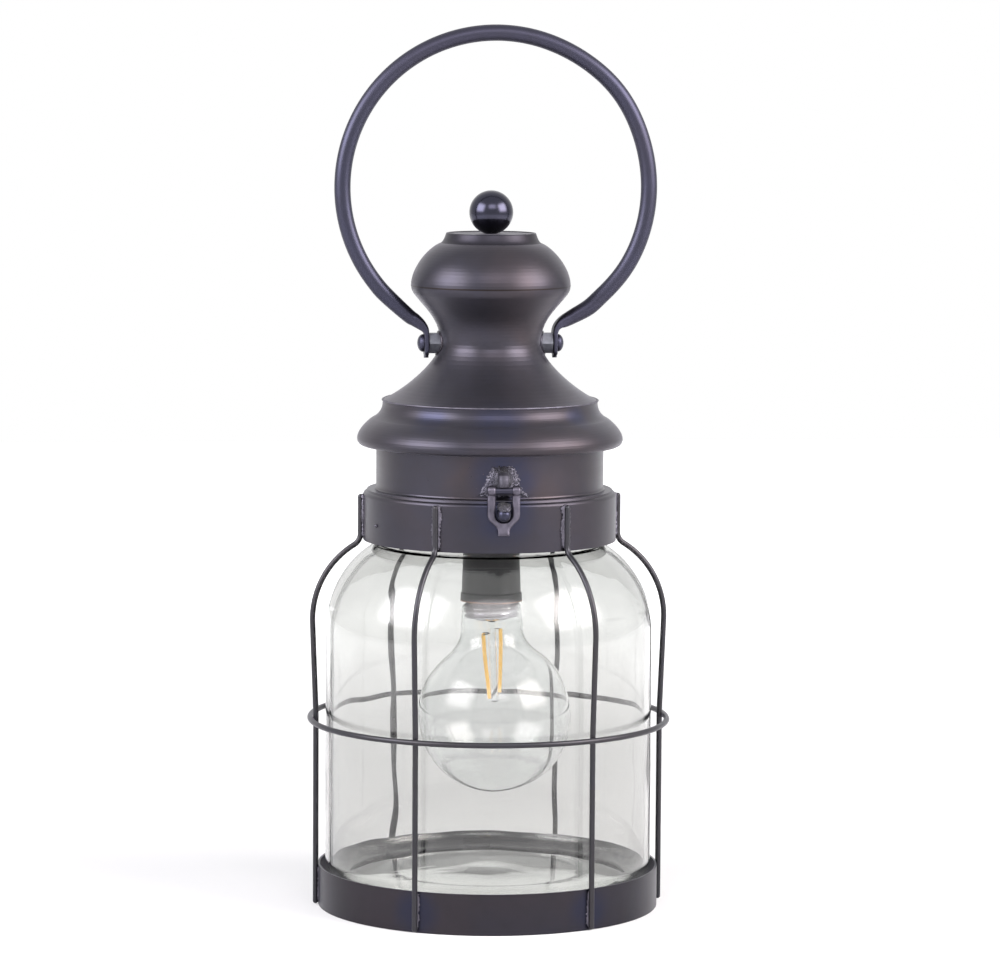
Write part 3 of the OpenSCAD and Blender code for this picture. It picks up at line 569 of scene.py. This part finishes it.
def sweep(path, normals, widths, heights, sides, power=2.0, sunk=1.0, closed=False):
    """A bar along a path in metres, with half widths across the normals and half heights along them in
    millimetres. power squares its section, and sunk shortens the side under the path."""
    rings = []
    last = len(path) - 1
    for i, p in enumerate(path):
        a = path[i - 1] if closed else path[max(i - 1, 0)]
        b = path[(i + 1) % len(path)] if closed else path[min(i + 1, last)]
        along = (b - a).normalized()
        across = along.cross(normals[i]).normalized()
        out = across.cross(along).normalized()
        square = power[i] if isinstance(power, list) else power
        ring = []
        for angle in turns(sides):
            c, s = rounded(angle, square)
            ring.append(p + (across * widths[i] * c + out * heights[i] * s * (sunk if s < 0 else 1.0)) * MM)
        rings.append(ring)
    return skin(rings, closed)


def lathe(profile, sides=96, closed=True):
    """A spun piece from an outline of (radius, height) in millimetres. An open outline ends on the axis."""
    bm = bmesh.new()
    rows = []
    for a in turns(sides):
        rows.append([bm.verts.new((r * MM * math.cos(a), r * MM * math.sin(a), z * MM)) for r, z in profile])
    for i in range(sides):
        a, b = rows[i], rows[(i + 1) % sides]
        for k in range(len(profile) if closed else len(profile) - 1):
            m = (k + 1) % len(profile)
            bm.faces.new((a[k], b[k], b[m], a[m]))
    if not closed:
        poles = [v for v in bm.verts if math.hypot(v.co.x, v.co.y) < 0.1 * MM]
        bmesh.ops.remove_doubles(bm, verts=poles, dist=0.3 * MM)
    bmesh.ops.recalc_face_normals(bm, faces=bm.faces)
    return bm


def flow(knots, steps):
    """Catmull-Rom through tuples of numbers, each tuple a place and its sizes."""
    out = []
    for i in range(len(knots) - 1):
        a, b, c, d = knots[max(i - 1, 0)], knots[i], knots[i + 1], knots[min(i + 2, len(knots) - 1)]
        for k in range(steps):
            t = k / steps
            out.append(tuple(0.5 * (2 * q + (r - p) * t + (2 * p - 5 * q + 4 * r - w) * t * t
                                    + (3 * q - p - 3 * r + w) * t * t * t) for p, q, r, w in zip(a, b, c, d)))
    return out + [tuple(knots[-1])]


def lumpy(bm, amount, size, seed):
    """Push a mesh's points in and out by noise: amount and size in millimetres."""
    bm.normal_update()
    offset = Vector((seed, -seed, seed))
    shifts = [(v, v.normal * noise.noise(v.co / (size * MM) + offset) * amount * MM) for v in bm.verts]
    for v, shift in shifts:
        v.co += shift


def join(*parts):
    """One mesh from several, which it uses up."""
    bm = bmesh.new()
    for part in parts:
        mesh = bpy.data.meshes.new("part")
        part.to_mesh(mesh)
        part.free()
        bm.from_mesh(mesh)
        bpy.data.meshes.remove(mesh)
    return bm


def piece(name, bm, body, material, angle=None):
    """An object from a mesh, which rides on a body. Its edges are smooth, or sharp past angle in degrees."""
    mesh = bpy.data.meshes.new(name)
    bm.to_mesh(mesh)
    bm.free()
    for p in mesh.polygons:
        p.use_smooth = True
    mesh.materials.append(material)
    o = bpy.data.objects.new(name, mesh)
    bpy.context.scene.collection.objects.link(o)
    if angle:
        mesh.set_sharp_from_angle(angle=math.radians(angle))
    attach(o, body)
    return o


def bake(o):
    """Apply an object's modifiers."""
    mesh = bpy.data.meshes.new_from_object(o.evaluated_get(bpy.context.evaluated_depsgraph_get()))
    o.modifiers.clear()
    old, o.data = o.data, mesh
    bpy.data.meshes.remove(old)
    for p in mesh.polygons:
        p.use_smooth = True


def melt(o, voxel, rounds):
    """Fuse an object's overlapping solids into one soft-edged skin."""
    m = o.modifiers.new("fuse", "REMESH")
    m.mode = "VOXEL"
    m.voxel_size = voxel * MM
    s = o.modifiers.new("soften", "SMOOTH")
    s.factor = 0.5
    s.iterations = rounds
    bake(o)


def drill(o, radius, at, length=60):
    """Bore a round hole through an object from side to side, through a point in millimetres."""
    bm = bmesh.new()
    bmesh.ops.create_cone(bm, cap_ends=True, segments=48, radius1=radius * MM, radius2=radius * MM,
                          depth=length * MM)
    bmesh.ops.rotate(bm, verts=bm.verts, matrix=Matrix.Rotation(math.pi / 2, 3, "Y"))
    bmesh.ops.translate(bm, verts=bm.verts, vec=Vector(at) * MM)
    mesh = bpy.data.meshes.new("drill")
    bm.to_mesh(mesh)
    bm.free()
    cutter = bpy.data.objects.new("drill", mesh)
    bpy.context.scene.collection.objects.link(cutter)
    m = o.modifiers.new("bore", "BOOLEAN")
    m.operation = "DIFFERENCE"
    m.solver = "EXACT"
    m.object = cutter
    bake(o)
    bpy.data.objects.remove(cutter)
    bpy.data.meshes.remove(mesh)


walls = {}  # the CAD nodes' surfaces, each kept once land() has made it


def land(node, start, way):
    """Where a ray meets a CAD node: the point in metres and the surface's normal towards the ray's start."""
    if node not in walls:
        m = nodes[node].data
        faces = [tuple(p.vertices) for p in m.polygons]
        walls[node] = BVHTree.FromPolygons([v.co for v in m.vertices], faces)
    way = Vector(way).normalized()
    hit, normal = walls[node].ray_cast(Vector(start) * MM, way)[:2]
    return hit, (-normal if normal.dot(way) > 0 else normal)


def around(node, azimuth, z):
    """The point on a node's outside at an azimuth and a height, and the normal there."""
    out = outward(azimuth)
    return land(node, (200 * out.x, 200 * out.y, z), -out)


def bead(node, knots, grow, seed):
    """A lumpy run of weld or solder up a node. Each knot is an azimuth, a height, a half width and a rise."""
    path, normals, widths, heights = [], [], [], []
    for i, (azimuth, z, half, rise) in enumerate(flow(knots, 8)):
        place, normal = around(node, azimuth, z)
        lump = 1 + grow * 2 * noise.noise(Vector((i * 0.55, seed, 0)))
        path.append(place)
        normals.append(normal)
        widths.append(max(half * lump, 0.05))
        heights.append(max(rise * (2 - lump), 0.05))
    bm = sweep(path, normals, widths, heights, 12, sunk=0.35)
    lumpy(bm, grow * 1.2, 1.6, seed)
    return bm


def mound(radius, outline, rise, sunk, seed, lump, size, rings):
    """A heap of weld on a collar of that radius, in millimetres. outline holds points as (along the collar,
    height), and rise(along, height) is how far the heap stands out there. Its bumps are lump high and size
    across, and its back lies inside the sheet."""
    rim = flow(outline + outline[:1], 9)[:-1]
    mid = sum(u for u, _ in rim) / len(rim)
    level = sum(v for _, v in rim) / len(rim)

    def place(along, height, out):
        a = along / radius
        r = radius + out
        return Vector((r * math.sin(a), -r * math.cos(a), height)) * MM

    bm = bmesh.new()
    summit = bm.verts.new(place(mid, level, rise(mid, level)))
    rows = []
    for k in range(1, rings + 1):
        s = k / rings
        soft = 1 - s ** 6
        row = []
        for u, v in rim:
            ragged = 1 + 0.16 * noise.noise(Vector((u, v, seed)) * 0.8)
            x, z = mid + (u - mid) * s * ragged, level + (v - level) * s * ragged
            at = Vector((x / size + seed, z / size, seed))
            bumps = noise.noise(at) + 0.6 * noise.noise(at * 2.1)
            row.append(bm.verts.new(place(x, z, (rise(x, z) + lump * bumps) * soft - sunk * (1 - soft))))
        rows.append(row)
    back = [bm.verts.new((q.co.x * 0.985, q.co.y * 0.985, q.co.z)) for q in rows[-1]]
    foot = bm.verts.new(place(mid, level, -sunk))
    for i in range(len(rim)):
        j = (i + 1) % len(rim)
        bm.faces.new((summit, rows[0][i], rows[0][j]))
        for a, b in zip(rows, rows[1:]):
            bm.faces.new((a[i], b[i], b[j], a[j]))
        bm.faces.new((rows[-1][i], back[i], back[j], rows[-1][j]))
        bm.faces.new((foot, back[j], back[i]))
    bmesh.ops.recalc_face_normals(bm, faces=bm.faces)
    return bm


# ---------- handle ----------

ROD_R = 5.0
RING_R = 94.5
RING_X = middle("handle_ring", X)
RING_Z = round(edge("handle_ring", HIGH, Z) - RING_R - ROD_R - 0.05, 2)
END_X = 39.7  # from the axis to the middle of each flattened end
END_THICK = 2.9
BOLT_HOLE_R = 3.95


def bent(angle):
    """How far the hand-bent ring strays from its circle, at an angle from its right side."""
    def swell(centre, width, size):
        return size * math.exp(-((angle - centre) / width) ** 2)
    return swell(38, 16, 0.9) + swell(-47, 12, -1.2)


def handle_end(side, knots):
    """One end of the rod, beaten flat, from its tip to where it is round. Each knot of its upper part is
    a distance from the axis, a height over the pivot, a thickness and a width."""
    # the flat part's height over the pivot and width
    flat = [(-9.09, 1.0), (-8.74, 4.9), (-7.84, 9.0), (-6.24, 12.6), (-3.84, 14.0), (0.16, 14.0),
            (3.66, 13.6)]
    whole = [(END_X, up, END_THICK, wide) for up, wide in flat] + knots
    return [(side * x, PIVOT_Z + up, thick, wide) for x, up, thick, wide in whole]


def handle():
    """The handle's rod: a ring with both ends beaten flat and drilled for the pivot bolts."""
    right = handle_end(1, [(39.7, 6.36, 3.3, 13.1), (40.5, 9.16, 4.0, 12.5), (42.4, 11.46, 5.5, 11.8),
                           (45.2, 13.16, 7.6, 10.9), (50.9, 16.26, 9.1, 10.2)])
    left = handle_end(-1, [(39.8, 6.16, 3.2, 13.2), (40.8, 8.76, 4.9, 12.4), (43.3, 11.46, 6.8, 11.6),
                           (46.9, 14.26, 8.2, 10.8), (51.2, 17.26, 8.9, 10.2)])
    ring = []
    for angle in range(-52, 230, 6):
        a, r = math.radians(angle), RING_R + bent(angle)
        ring.append((RING_X + r * math.cos(a), RING_Z + r * math.sin(a), 2 * ROD_R, 2 * ROD_R))
    path, widths, heights, power = [], [], [], []
    for x, z, thick, wide in flow(right + ring + left[::-1], 5):
        path.append(Vector((x, 0, z)) * MM)
        widths.append(thick / 2)
        heights.append(wide / 2)
        power.append(2.0 + 3.5 * min(max((wide - 10.3) / 2.6, 0), 1))
    bm = sweep(path, [FRONT] * len(path), widths, heights, 40, power)
    o = piece("handle_rod", bm, "handle", handle_metal)
    drill(o, BOLT_HOLE_R, (0, 0, PIVOT_Z), length=200)
    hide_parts("handle_ring")


handle()

# ---------- hasp and its weld ----------

ARC_Z = PIN_Z - 14.0  # the centre of the loop's rounded end
LOOP_HALF = 5.0  # half the loop's inside width
PIN_HOLE_R = 2.25


def hasp():
    """The stirrup-shaped loop with an eye on each side of the pin, and its finger tongue, forged in one."""
    leg_x, leg_half, thick_half = 7.45, 2.4, 1.7
    wide, corner = edge("hasp_loop", HIGH, X), 12.6
    # the loop's middle line as place across, height and half width, down one leg and up the other
    spine = [(-leg_x, PIN_Z - down, leg_half) for down in (0, 3, 6, 9, 12)]
    for i in range(17):
        a = math.pi * i / 16
        outer = min(wide, corner / (abs(math.cos(a)) + math.sin(a)))
        r = (outer + LOOP_HALF) / 2
        spine.append((-r * math.cos(a), ARC_Z - r * math.sin(a), (outer - LOOP_HALF) / 2))
    spine += [(leg_x, PIN_Z - down, leg_half) for down in (12, 9, 6, 3, 0)]
    path = [Vector((x, PIN_Y, z)) * MM for x, z, _ in spine]
    halves = [half for _, _, half in spine]
    parts = [sweep(path, [FRONT] * len(path), halves, [thick_half] * len(path), 24, 2.6)]
    # an eye's place across from its middle and radius
    eye_x, eye = 7.5, [(-2.4, 2.3), (-2.1, 2.8), (-1.6, 3.1), (0, 3.2), (1.6, 3.1), (2.1, 2.8), (2.4, 2.3)]
    for side in (-1, 1):
        rings = []
        for x, r in eye:
            rings.append([Vector((side * eye_x + x, PIN_Y + r * math.cos(a), PIN_Z + r * math.sin(a))) * MM
                          for a in turns(32)])
        parts.append(skin(rings))
    # the tongue's way down from the loop, half width and half thickness
    tongue = [(-0.9, 6.6, 1.4), (0.6, 5.6, 1.45), (1.8, 4.6, 1.4), (3.0, 3.8, 1.3), (4.4, 3.5, 1.2),
              (6.4, 3.5, 1.05), (7.0, 3.2, 0.7)]
    path = []
    for down, _, _ in tongue:
        lean = math.radians(14) if down > 0 else 0
        path.append(Vector((0, PIN_Y - down * math.sin(lean), ARC_Z - 6.3 - down * math.cos(lean))) * MM)
    widths = [half for _, half, _ in tongue]
    heights = [half for _, _, half in tongue]
    parts.append(sweep(path, [FRONT] * len(path), widths, heights, 24, 3.0))
    o = piece("hasp_forging", join(*parts), "hasp", forged)
    melt(o, 0.3, 5)
    drill(o, PIN_HOLE_R, (0, PIN_Y, PIN_Z))
    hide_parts("hasp_loop")


hasp()


def hasp_nub():
    """The rounded nub on the upper collar that holds the hasp's pin."""
    half, top = [edge("hasp_knuckle", HIGH, axis) for axis in (X, Z)]
    bottom = edge("hasp_knuckle", LOW, Z)
    back = -(UPPER_R - 1.1)
    rings = []
    for x in (-half, -2.9, -2.4, -1.5, 0, 1.5, 2.4, 2.9, half):
        cut = 0.9 * (abs(x) / half) ** 3
        outline = [(back, bottom + cut), (PIN_Y + 1.6, bottom + cut), (PIN_Y + 1.6, PIN_Z + 1.0),
                   (PIN_Y - 2.4 + 1.6 * cut, PIN_Z + 2.0), (PIN_Y - 3.1 + 1.9 * cut, PIN_Z + 4.4),
                   (PIN_Y - 2.8 + 1.9 * cut, PIN_Z + 7.0), (PIN_Y - 1.3 + 1.6 * cut, PIN_Z + 9.4 - cut),
                   (PIN_Y + 1.8, top - 1.6 * cut), (back, top - cut)]
        rings.append([Vector((x, y, z)) * MM for y, z in outline])
    o = piece("hasp_nub", skin(rings), "lid", weld)
    melt(o, 0.35, 12)
    drill(o, PIN_HOLE_R - 0.05, (0, PIN_Y, PIN_Z))
    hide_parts("hasp_knuckle")


hasp_nub()


def hasp_weld():
    """The heap of weld round the nub. Its heights start at the upper collar's lower edge."""
    foot = edge("upper_collar", LOW, Z)

    def hill(along, height, wide, tall):
        return math.exp(-((along - 0.4) / wide) ** 2 - (height / tall) ** 2)

    def rise(along, height):
        up = height - foot
        return 1.0 + 2.4 * hill(along, up - 10.96, 6.5, 6.0) + 8.6 * hill(along, up - 13.96, 4.4, 4.6)

    outline = [(-17.0, 1.56), (-13.0, 3.96), (-10.6, 8.96), (-9.2, 15.36), (-5.6, 19.76), (0.6, 21.16),
               (5.8, 20.56), (9.6, 16.56), (11.8, 11.16), (13.8, 5.96), (17.4, 1.56), (9.0, 1.76), (0, 1.96),
               (-9, 1.76)]
    heap = mound(UPPER_R - 0.9, [(along, foot + up) for along, up in outline], rise, sunk=0.3, seed=3.3,
                 lump=0.55, size=0.85, rings=56)
    piece("hasp_weld_bead", heap, "lid", heap_metal)


hasp_weld()

# ---------- solder and small welds ----------

def stud_solder():
    """The patch of solder over the stud, on the lower collar. Its heights start at the stud's middle."""
    outline = [(-3.6, 2.76), (-3.3, 5.16), (-1.2, 6.66), (1.8, 6.76), (4.2, 5.76), (4.5, 3.16), (2.4, 1.66),
               (-1.8, 1.66)]

    def rise(along, height):
        return 12.0 - 1.9 * abs(height - STUD_Z - 2.66)

    patch = mound(COLLAR_R - 0.5, [(along, STUD_Z + up) for along, up in outline], rise, sunk=1.4, seed=5.1,
                  lump=0.5, size=1.1, rings=24)
    piece("stud_solder", patch, "lantern", heap_metal)


stud_solder()


def wire_bead(azimuth, rnd, seed):
    """The run of solder between a wire and the lower collar, from the collar's lower edge up."""
    foot = edge("lower_collar", LOW, Z)
    wide = 3.1 + 0.3 * rnd.random()
    knots = [(0, 0.96, 0.5, 0.4)]
    for up in (2.86, 6.36, 10.36, 14.36, 18.36, 22.36, 25.36):
        shift = rnd.uniform(-0.25, 0.25)
        half = wide * rnd.uniform(0.85, 1.15)
        knots.append((shift, up, half, 1.7 * rnd.uniform(0.85, 1.15)))
    knots += [(0, 26.56, 2.7, 1.9), (0, 27.66, 2.2, 1.4), (0, 28.36, 0.6, 0.3)]
    knots = [(azimuth + shift, foot + up, half, rise) for shift, up, half, rise in knots]
    return bead("lower_collar", knots, 0.2, seed)


def foot_bead(azimuth, rnd, seed):
    """The run of solder between a wire's foot and the base ring."""
    knots = [(azimuth, 1.6, 0.6, 0.3)]
    for z in (3.5, 8.0, 13.0, 18.0, 22.0):
        shift = rnd.uniform(-0.15, 0.15)
        half = 2.0 * rnd.uniform(0.85, 1.2)
        knots.append((azimuth + shift, z, half, 0.9 * rnd.uniform(0.8, 1.2)))
    knots += [(azimuth, 23.6, 1.4, 0.6), (azimuth, 24.2, 0.5, 0.2)]
    return bead("base_ring", knots, 0.25, seed)


def hoop_drop(azimuth, seed):
    """The drop of solder where the hoop crosses a wire."""
    out = outward(azimuth)
    across = outward(azimuth + 90)
    radius = 108.8  # on the wire, just inside the hoop
    centre = out * radius + Vector((0, 0, middle("guard_hoop", Z)))
    # place along the hoop, half width and rise
    blob = [(-2.6, 0.35, 0.3), (-1.7, 1.0, 0.85), (0, 1.35, 1.1), (1.7, 1.0, 0.85), (2.6, 0.35, 0.3)]
    path = [(centre + across * along) * MM for along, _, _ in blob]
    drop = sweep(path, [out] * len(path), [half for _, half, _ in blob], [rise for _, _, rise in blob], 12)
    lumpy(drop, 0.3, 1.5, seed)
    return drop


def cage_solder():
    """The solder that holds the six wires to the lower collar, the base ring and the hoop."""
    parts = []
    for i, azimuth in enumerate(WIRE_AZIMUTHS):
        rnd = random.Random(40 + i)
        parts.append(wire_bead(azimuth, rnd, i * 1.7))
        parts.append(foot_bead(azimuth, rnd, i * 2.3 + 9))
        parts.append(hoop_drop(azimuth, i))
    piece("cage_solder", join(*parts), "lantern", solder)


cage_solder()


def crest_bead():
    """The soldered joint between the brim and the cone, as an uneven ring."""
    radius, height = 66.0, 313.75
    rings = []
    for a in turns(240):
        out = Vector((math.sin(a), -math.cos(a), 0))
        lump = 1 + 0.35 * noise.noise(Vector((math.cos(a) * 14, math.sin(a) * 14, 0)))
        rings.append([(out * (radius + 0.8 * lump * math.cos(b))
                       + Vector((0, 0, height + 0.65 * lump * math.sin(b)))) * MM for b in turns(10)])
    piece("crest_solder", skin(rings, closed=True), "lid", solder)


crest_bead()


def nut_welds():
    """Weld round each pivot nut, where it sits on the cone."""
    radius, count = 6.7, 28
    parts = []
    for side in (-1, 1):
        path, normals = [], []
        for a in turns(count):
            start = (side * 90, radius * math.cos(a), PIVOT_Z + radius * math.sin(a))
            place, normal = land("chimney_cone", start, (-side, 0, 0))
            path.append(place)
            normals.append(normal)
        sizes = [1.0 + 0.4 * noise.noise(Vector((k * 0.6, side * 5, 1))) for k in range(count)]
        ring = sweep(path, normals, sizes, sizes, 10, sunk=0.35, closed=True)
        lumpy(ring, 0.25, 1.3, side)
        parts.append(ring)
    piece("nut_welds", join(*parts), "lid", collar_metal)


nut_welds()

# ---------- glass ----------

def curve(a, b, c, d, steps):
    """Points along a Bezier curve."""
    return [tuple((1 - t) ** 3 * p + 3 * (1 - t) ** 2 * t * q + 3 * (1 - t) * t * t * r + t ** 3 * w
                  for p, q, r, w in zip(a, b, c, d)) for t in [i / steps for i in range(steps + 1)]]


def arc(centre, r, start, end, steps):
    """Points along an arc, between two angles in degrees."""
    angles = [math.radians(start + (end - start) * i / steps) for i in range(steps + 1)]
    return [(centre[0] + r * math.cos(a), centre[1] + r * math.sin(a)) for a in angles]


def line(a, b, steps):
    """Points between two ends, without the ends."""
    return [(a[0] + (b[0] - a[0]) * i / steps, a[1] + (b[1] - a[1]) * i / steps) for i in range(1, steps)]


JAR_R = edge("glass_jar", HIGH, X)
JAR_FOOT = edge("glass_jar", LOW, Z)
JAR_TOP = edge("glass_jar", HIGH, Z)
JAR_WALL = 3.5
ON_AXIS = 0.01  # where an open outline starts, so that its first ring can be merged


def jar_outline(wall):
    """The jar's wall from the heel up to its neck, at a depth under its outer face."""
    body = 157.5  # from the foot up to where the shoulder starts
    heel, shoulder, bend, neck = 15, 61, 8, 66
    low, high = JAR_FOOT + heel, JAR_FOOT + body
    middle_r = JAR_R - shoulder
    # where the shoulder's arc runs into the bend of the neck, which turns the other way
    turn = round(math.degrees(math.acos((neck + bend - middle_r) / (shoulder + bend))), 2)
    bend_z = round(high + (shoulder + bend) * math.sin(math.radians(turn)), 2)
    r = JAR_R - wall
    return (arc((JAR_R - heel, low), heel - wall, -90, 0, 20) + line((r, low), (r, high), 48)
            + arc((middle_r, high), shoulder - wall, 0, turn, 60)
            + arc((neck + bend, bend_z), bend + wall, 180 + turn, 180, 12))


def wave(bm):
    """Move the jar's glass in and out by slow noise, less near its foot. Outside straight_r lies the outer
    face of the straight wall, which moves apart from the rest."""
    depth, across, up, straight_r = 0.16 * MM, 21 * MM, 34 * MM, (JAR_R - 1.7) * MM
    for v in bm.verts:
        r = math.hypot(v.co.x, v.co.y)
        if r < 1 * MM:
            continue
        calm = min(max((v.co.z - 30 * MM) / (40 * MM), 0.12), 1.0)
        at = Vector((v.co.x / across, v.co.y / across, v.co.z / up))
        apart = 9.0 if r < straight_r else 0.0
        shift = depth * calm * noise.noise(at + Vector((apart, 0, apart)))
        v.co.x *= 1 + shift / r
        v.co.y *= 1 + shift / r


def jar():
    """The jar's glass: a pushed-up bottom, a rounded heel, a domed shoulder and a neck with a round lip."""
    push, lip = 4.0, 1.6
    under, floor_z = JAR_FOOT + push, JAR_FOOT + push + JAR_WALL
    outer, inner = jar_outline(0), jar_outline(JAR_WALL)
    neck, lip_z = outer[-1], JAR_TOP - lip
    well = (60.2, floor_z - 0.6)
    outside = (curve((ON_AXIS, under), (43, under), (68.8, under), (80, JAR_FOOT + 0.8), 24) + outer
               + line(neck, (neck[0], lip_z - lip), 4) + arc((neck[0], lip_z), lip, -90, 90, 10))
    inside = [(ON_AXIS, floor_z)] + line((ON_AXIS, floor_z), well, 12) + [well] + inner
    inside.append((neck[0] - JAR_WALL, JAR_TOP))
    bm = lathe(outside + inside[::-1], 224, closed=False)
    wave(bm)
    o = piece("jar_blown", bm, "lantern", jar_glass)
    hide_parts("glass_jar")


jar()

# ---------- bulb and lampholder ----------

HANG = middle("bulb_cap", X)  # the bulb hangs a little to the right of the axis
CAP_Z = edge("bulb_cap", LOW, Z)
MOUTH_Z = CAP_Z - 0.6
GLOBE_R = 47.5
leaning = (Matrix.Translation(Vector((HANG, 0, CAP_Z)) * MM) @ Matrix.Rotation(math.radians(-2.1), 4, "Y")
           @ Matrix.Translation(Vector((0, 0, -CAP_Z)) * MM))


def inset(outline, wall):
    """An open outline moved in by a wall's thickness, and kept off the axis."""
    inner = []
    for i, (r, z) in enumerate(outline):
        a, b = outline[max(i - 1, 0)], outline[min(i + 1, len(outline) - 1)]
        length = math.hypot(b[0] - a[0], b[1] - a[1])
        inner.append((max(r - wall * (b[1] - a[1]) / length, ON_AXIS), z + wall * (b[0] - a[0]) / length))
    return inner


def globe():
    """The bulb's envelope, in one smooth skin from its bottom to the seal in its cap."""
    centre, end = MOUTH_Z - 71.8, 52
    c, s = math.cos(math.radians(end)), math.sin(math.radians(end))
    shoulder = (GLOBE_R * c, centre + GLOBE_R * s)
    neck = curve(shoulder, (shoulder[0] - 7 * s, shoulder[1] + 7 * c), (19.2, MOUTH_Z - 25),
                 (19.0, MOUTH_Z - 14), 24)
    seal = curve((18.1, MOUTH_Z - 4), (18.1, MOUTH_Z - 1.6), (13.5, MOUTH_Z), (12.1, MOUTH_Z + 0.3), 14)
    outer = arc((0, centre), GLOBE_R, -90, end, 84) + neck[1:] + seal + [(12.1, MOUTH_Z + 6.6)]
    bm = lathe(outer + inset(outer, 0.8)[::-1], 128, closed=False)
    bm.transform(leaning)
    o = piece("bulb_globe", bm, "lantern", bulb_glass)
    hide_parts("bulb_glass")


globe()


def bulb_neck():
    """The stepped metal ring in the bulb's neck, seen through its glass. Its depths are under the mouth."""
    outer = [(14.6, 1.2), (16.2, 2.0), (16.9, 2.9), (15.9, 3.6), (16.4, 4.2), (17.1, 5.0), (17.1, 6.4),
             (15.4, 7.3), (15.8, 8.0), (16.8, 8.8), (16.4, 9.9), (11.5, 10.6), (10.4, 11.6)]
    inner = [(10.0, 11.4), (11.0, 10.1), (14.6, 9.4), (14.4, 2.5)]
    bm = lathe([(r, MOUTH_Z - depth) for r, depth in outer + inner])
    bm.transform(leaning)
    piece("bulb_neck_ring", bm, "lantern", neck_metal, 40)


bulb_neck()


def holder_lip():
    """The thin copper lip round the lampholder's mouth."""
    profile = [(18.55, 0.2), (18.75, -0.1), (19.05, 0.1), (19.15, 0.45), (19.0, 0.75), (18.7, 0.7)]
    bm = lathe([(r, MOUTH_Z + up) for r, up in profile])
    bmesh.ops.translate(bm, verts=bm.verts, vec=(HANG * MM, 0, 0))
    piece("holder_lip", bm, "lantern", copper)


holder_lip()

# ---------- stray drops ----------

def droplet(node, azimuth, z, r):
    """A round drop that sits on a node."""
    place, normal = around(node, azimuth, z)
    bm = bmesh.new()
    bmesh.ops.create_icosphere(bm, subdivisions=2, radius=r * MM)
    bmesh.ops.translate(bm, verts=bm.verts, vec=place + normal * r * 0.2 * MM)
    return bm


def spatter():
    """A stray drop of solder on the lower collar, and nine small drops of weld on the upper one."""
    stray = droplet("lower_collar", -67.8, 239.3, 1.1)
    rnd = random.Random(7)
    small = []
    for _ in range(9):
        azimuth, z = rnd.uniform(-18, 22), rnd.uniform(264, 281)
        small.append(droplet("upper_collar", azimuth, z, rnd.uniform(0.25, 0.45)))
    piece("spatter_drop", stray, "lantern", solder)
    piece("weld_spatter", join(*small), "lid", weld)


spatter()


def soften(name):
    """Round a nut's edges."""
    o = nodes[name]
    w = o.modifiers.new("weld", "WELD")
    w.merge_threshold = 0.02 * MM
    b = o.modifiers.new("edge", "BEVEL")
    b.width = 0.6 * MM
    b.segments = 3
    b.limit_method = "ANGLE"
    b.angle_limit = math.radians(35)


for name in ("handle_weld_nuts", "finial_nut", "lock_nut"):
    soften(name)

bpy.context.scene.view_settings.view_transform = "Standard"
